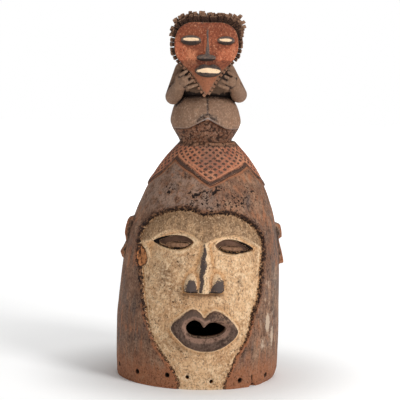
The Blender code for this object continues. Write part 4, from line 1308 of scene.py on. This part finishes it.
def crestColour(f, n):
    # red earth, with painted shade darkening it above and in its hollows and painted light turning it orange
    # below, with slate lids, nose and lips and two pale slits for eyes
    up = n.up
    jaw = f.between(up + n.patchyOff * 0.010, 0.472, 0.462)
    rim = f.between(n.crestEdge + n.fineOff * 3, 3.2, 0.8)
    red = f.layers("crestRed", [
        ("crestOrange", n.patchy + n.gritOff * 0.6, 0.30, 0.80, 1),
        # painted shade over the upper face
        ("crestDark", up + n.patchyOff * 0.020, 0.492, 0.520, 0.75),
        # painted light: orange over the lower face
        ("crestOrange", up + n.patchyOff * 0.012, 0.470, 0.446, 0.8),
        # painted shade in the hollows
        ("crestDark", n.hollow + n.fineOff * 0.3, -0.05, -0.6, 0.8, f.between(up, 0.450, 0.472) * 0.7 + 0.3),
        ("crestDark", n.grit, 0.45, 0.05, 0.65),
        ("crestDark", n.specks, 0.76, 0.90, 0.7),
        ("crestOrange", n.dots, 0.56, 0.85, 0.50),
        ("light", n.dots, 0.80, 1.00, 0.30),
        ("crestDark", n.dots, 0.46, 0.16, 0.65),
        ("deep", n.fine, 0.36, 0.10, 0.6),
        # painted light: orange over the lower face
        ("crestOrange", up + n.gritOff * 0.010, 0.470, 0.458, 0.75),
        ("tan", n.grit, 0.3, 0.7, 1, rim * jaw),
    ])
    features = f.either(f.either(n.crestLids, n.crestLips), n.crestNose)
    grey = f.mix(0.6, f.layers("crestGrey", [("tan", n.grit, 0.3, 0.9, 1)]), tones["crestGrey"])
    red = f.mix(f.between(features + n.fineOff * 0.08, 0.0, 0.06), red, grey)
    # painted shadow: black under the lower lids, the nose and the lower lip
    lidShade = f.both(f.between(n.crestLids, -0.22, 0.02), f.between(up, 0.5090, 0.5065))
    lipShade = f.both(f.between(n.crestLips, -0.10, 0.06), f.between(up, 0.4590, 0.4570))
    noseShade = f.both(f.between(n.crestNose, -0.05, 0.05), f.between(up, 0.4838, 0.4818))
    red = f.mix(f.either(f.either(lidShade * 0.75, lipShade * 0.7), noseShade * 0.9), red, tones["pitAndShade"])
    white = f.layers("crestWhite", [("ochre", n.grit, 0.35, 0.0, 1)])
    return f.mix(f.between(n.crestSlits + n.fineOff * 0.15, 0.02, 0.12), red, white)


def figureLayers(f, wood, n, rubbed):
    # the figure: greyer than the hood, with painted shade darker on its left side and black in its deep
    # hollows and behind its arms, and a rubbed edge along the legs
    part, up = n.figurePart, n.up
    wood = f.layers(wood, [
        ("slate", n.patchy + n.broadOff * 0.6, 0.20, 0.75, 0.55, part),
        ("deep", up, 0.410, 0.425, 0.25, part),
        # painted shade on the figure's left side
        ("deep", n.side, 0.012, -0.004, 0.25, part),
    ])
    wood = f.mix(part * 0.48, wood, tones["deep"])
    under = f.between(n.legEdge, 0.5, -1.2)
    wood = f.layers(wood, [
        ("tan", n.cloudy + n.gritOff * 0.5, 0.55, 0.90, 0.5, part),
        ("tan", n.grit, 0.55, 0.85, 0.45, part),
        ("deep", n.grit, 0.48, 0.12, 0.55, part),
        ("dust", n.dots, 0.60, 0.90, 0.45, part),
        ("pitAndShade", n.dots, 0.42, 0.14, 0.6, part),
        ("deep", up, 0.415, 0.430, 0.35, part),
        # painted shade, black in the figure's deep hollows and behind its arms
        ("pitAndShade", n.hollow + n.gritOff * 0.5, -0.15, -0.9, 0.95, f.between(up, 0.368, 0.378)),
        ("pitAndShade", n.recess + n.gritOff * 0.3, 0.15, 0.70, 0.85),
        ("tan", n.hollow + n.patchyOff * 0.6, 0.35, 0.95, 0.45, part),
        ("orange", n.legEdge, 0.5, -1.2, 0.35),
        ("pitAndShade", n.specks + n.gritOff * 0.9, 0.40, 0.75, 0.85, under),
    ])
    return f.mix(rubbed * (n.legTop * 0.65 + 0.22), wood, tones["ash"])


def woodFinish():
    f = Finish("worn carved wood")
    n = SimpleNamespace(
        up=f.node("ShaderNodeSeparateXYZ", {}, {"Vector": f.coords}, "Z"),
        side=f.node("ShaderNodeSeparateXYZ", {}, {"Vector": f.coords}, "X"),
        broad=f.noise(0.060, 4.0, 0.6, 2.2, 3.1),
        patchy=f.noise(0.020, 5.0, 0.65, 1.8, 7.7),
        cloudy=f.noise(0.012, 5.0, 0.68, 1, 4.4),
        streaks=f.noise(0.0070, 4.0, 0.6, 6.0, 1.9, 0.6),
        lines=f.noise(0.0032, 3.0, 0.6, 12.0, 2.7, 0.3),
        grit=f.noise(0.0034, 4.0, 0.75, 1.3, 8.1),
        fine=f.noise(0.0020, 3.0, 0.62, 1.3, 5.3),
        specks=f.noise(0.0046, 2.0, 0.7, 1, 9.2),
        beads=f.noise(0.0050, 2.0, 0.6, 1, 6.6),
        dots=f.noise(0.0026, 2.0, 0.8, 1.2, 1.3),
    )
    for name in marks:
        setattr(n, name, f.stored(name))
    for name in ("broad", "patchy", "cloudy", "streaks", "grit", "fine"):
        setattr(n, name + "Off", getattr(n, name) - 0.5)
    collarEdge = n.collarEdge + n.fineOff * 0.8
    onCollar = f.between(collarEdge, -0.3, 0.3)
    wood = f.layers(woodColour(f, n), [
        ("pitAndShade", n.damage + n.fineOff * 0.4 + n.gritOff * 0.5, 0.25, 0.55, 0.92),
    ])
    halo = f.both(f.between(n.collarEdge + n.patchyOff * 3, -6.5, -2.0), 1 - onCollar)
    wood = f.mix(halo * 0.75, wood, tones["orange"])
    # painted shadow under the collar's raised step
    shade = f.between(collarEdge, -1.9, -0.9)
    wood = f.layers(wood, [("deep", n.collarEdge, 1.0, 0.2, 0.85, shade)])
    wood = f.mix(onCollar, wood, collarColour(f, n))
    rubbed = f.span(n.legEdge + n.fineOff, -0.6, 0.3, 1.2, 2.6)
    wood = figureLayers(f, wood, n, rubbed)

    # the chalked face, and round it a ragged line in the groove's gap: dark partly as painted shade and
    # partly as what is left of an edging, with brown crumbs of that edging
    edge = n.faceEdge + n.fineOff * 4.0 + n.gritOff * 4.6
    high = f.between(n.up, 0.060, 0.170)
    onFace = f.between(edge, 1.2, 1.9)
    wood = f.layers(wood, [("orange", n.patchy, 0.15, 0.60, 0.8, f.span(edge, -6.0, -3.0, 0.5, 1.5))])
    colour = f.mix(onFace, wood, chalkColour(f, n))
    line = f.both(f.between(edge + high * 2.4, -2.0, -1.4), f.between(edge - high * 0.8, 2.4, 1.9))
    line = line * f.between(n.beads + high * 0.7 + n.patchyOff * 0.5, 0.36, 0.50)
    crumbs = f.layers("pitAndShade", [("crumb", n.beads + n.fineOff * 0.6, 0.56, 0.74, 1)])
    colour = f.mix(line * 0.95, colour, crumbs)
    chipEdge = n.chipEdge + n.fineOff * 0.8
    raw = f.layers("raw", [
        ("deep", n.streaks + n.gritOff * 0.5, 0.55, 0.95, 1),
        ("deep", chipEdge, 1.8, 0.6, 1),
    ])
    colour = f.mix(f.between(chipEdge, -0.1, 0.3), colour, raw)
    colour = f.mix(f.between(n.crestEdge, 0.1, 0.6), colour, crestColour(f, n))
    # the hollow inside is bare wood, darkened with painted shade
    colour = f.mix(n.inside, colour, f.mix(n.patchy, tones["deep"], tones["brown"]))

    rough = 0.66 + n.fineOff * 0.12 + onFace * 0.2 - rubbed * 0.15
    height = n.fine * 0.25 + n.grit * 0.6 + n.cloudy * 0.5 + n.lines * (1 - onFace) * 0.12 + n.specks * 0.2
    return f.finishWith(colour, rough, height, 0.00045)


def hideFinish():
    f = Finish("dry cut hide")
    fine = f.noise(0.0016, 4.0, 0.6, 1, 2.2)
    patchyOff = f.noise(0.006, 3.0, 0.6, 1, 6.1) - 0.5
    tone, high, level = f.stored("tabTone"), f.stored("tabHeight"), f.stored("tabLevel")
    colour = f.layers("hideDark", [
        ("hidePale", tone + patchyOff * 0.5, 0.2, 0.8, 1),
        ("hideRoot", high, 0.80, 0.20, 0.8),
        ("hideTip", high + (fine - 0.5) * 0.3, 0.80, 1.0, 0.7),
        ("hideFleck", fine, 0.62, 0.90, 0.5),
        ("hideLow", level + patchyOff * 0.1, 0.66, 0.60, 0.7),
        ("hidePore", fine, 0.40, 0.10, 0.6),
    ])
    return f.finishWith(colour, 0.8, fine, 0.0006)


mask.data.materials.append(woodFinish())
tabs.data.materials.append(hideFinish())
print("finishes made")

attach(mask, "root")
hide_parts("carved_mask")
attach(tabs, "root")
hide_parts("head_fringe")
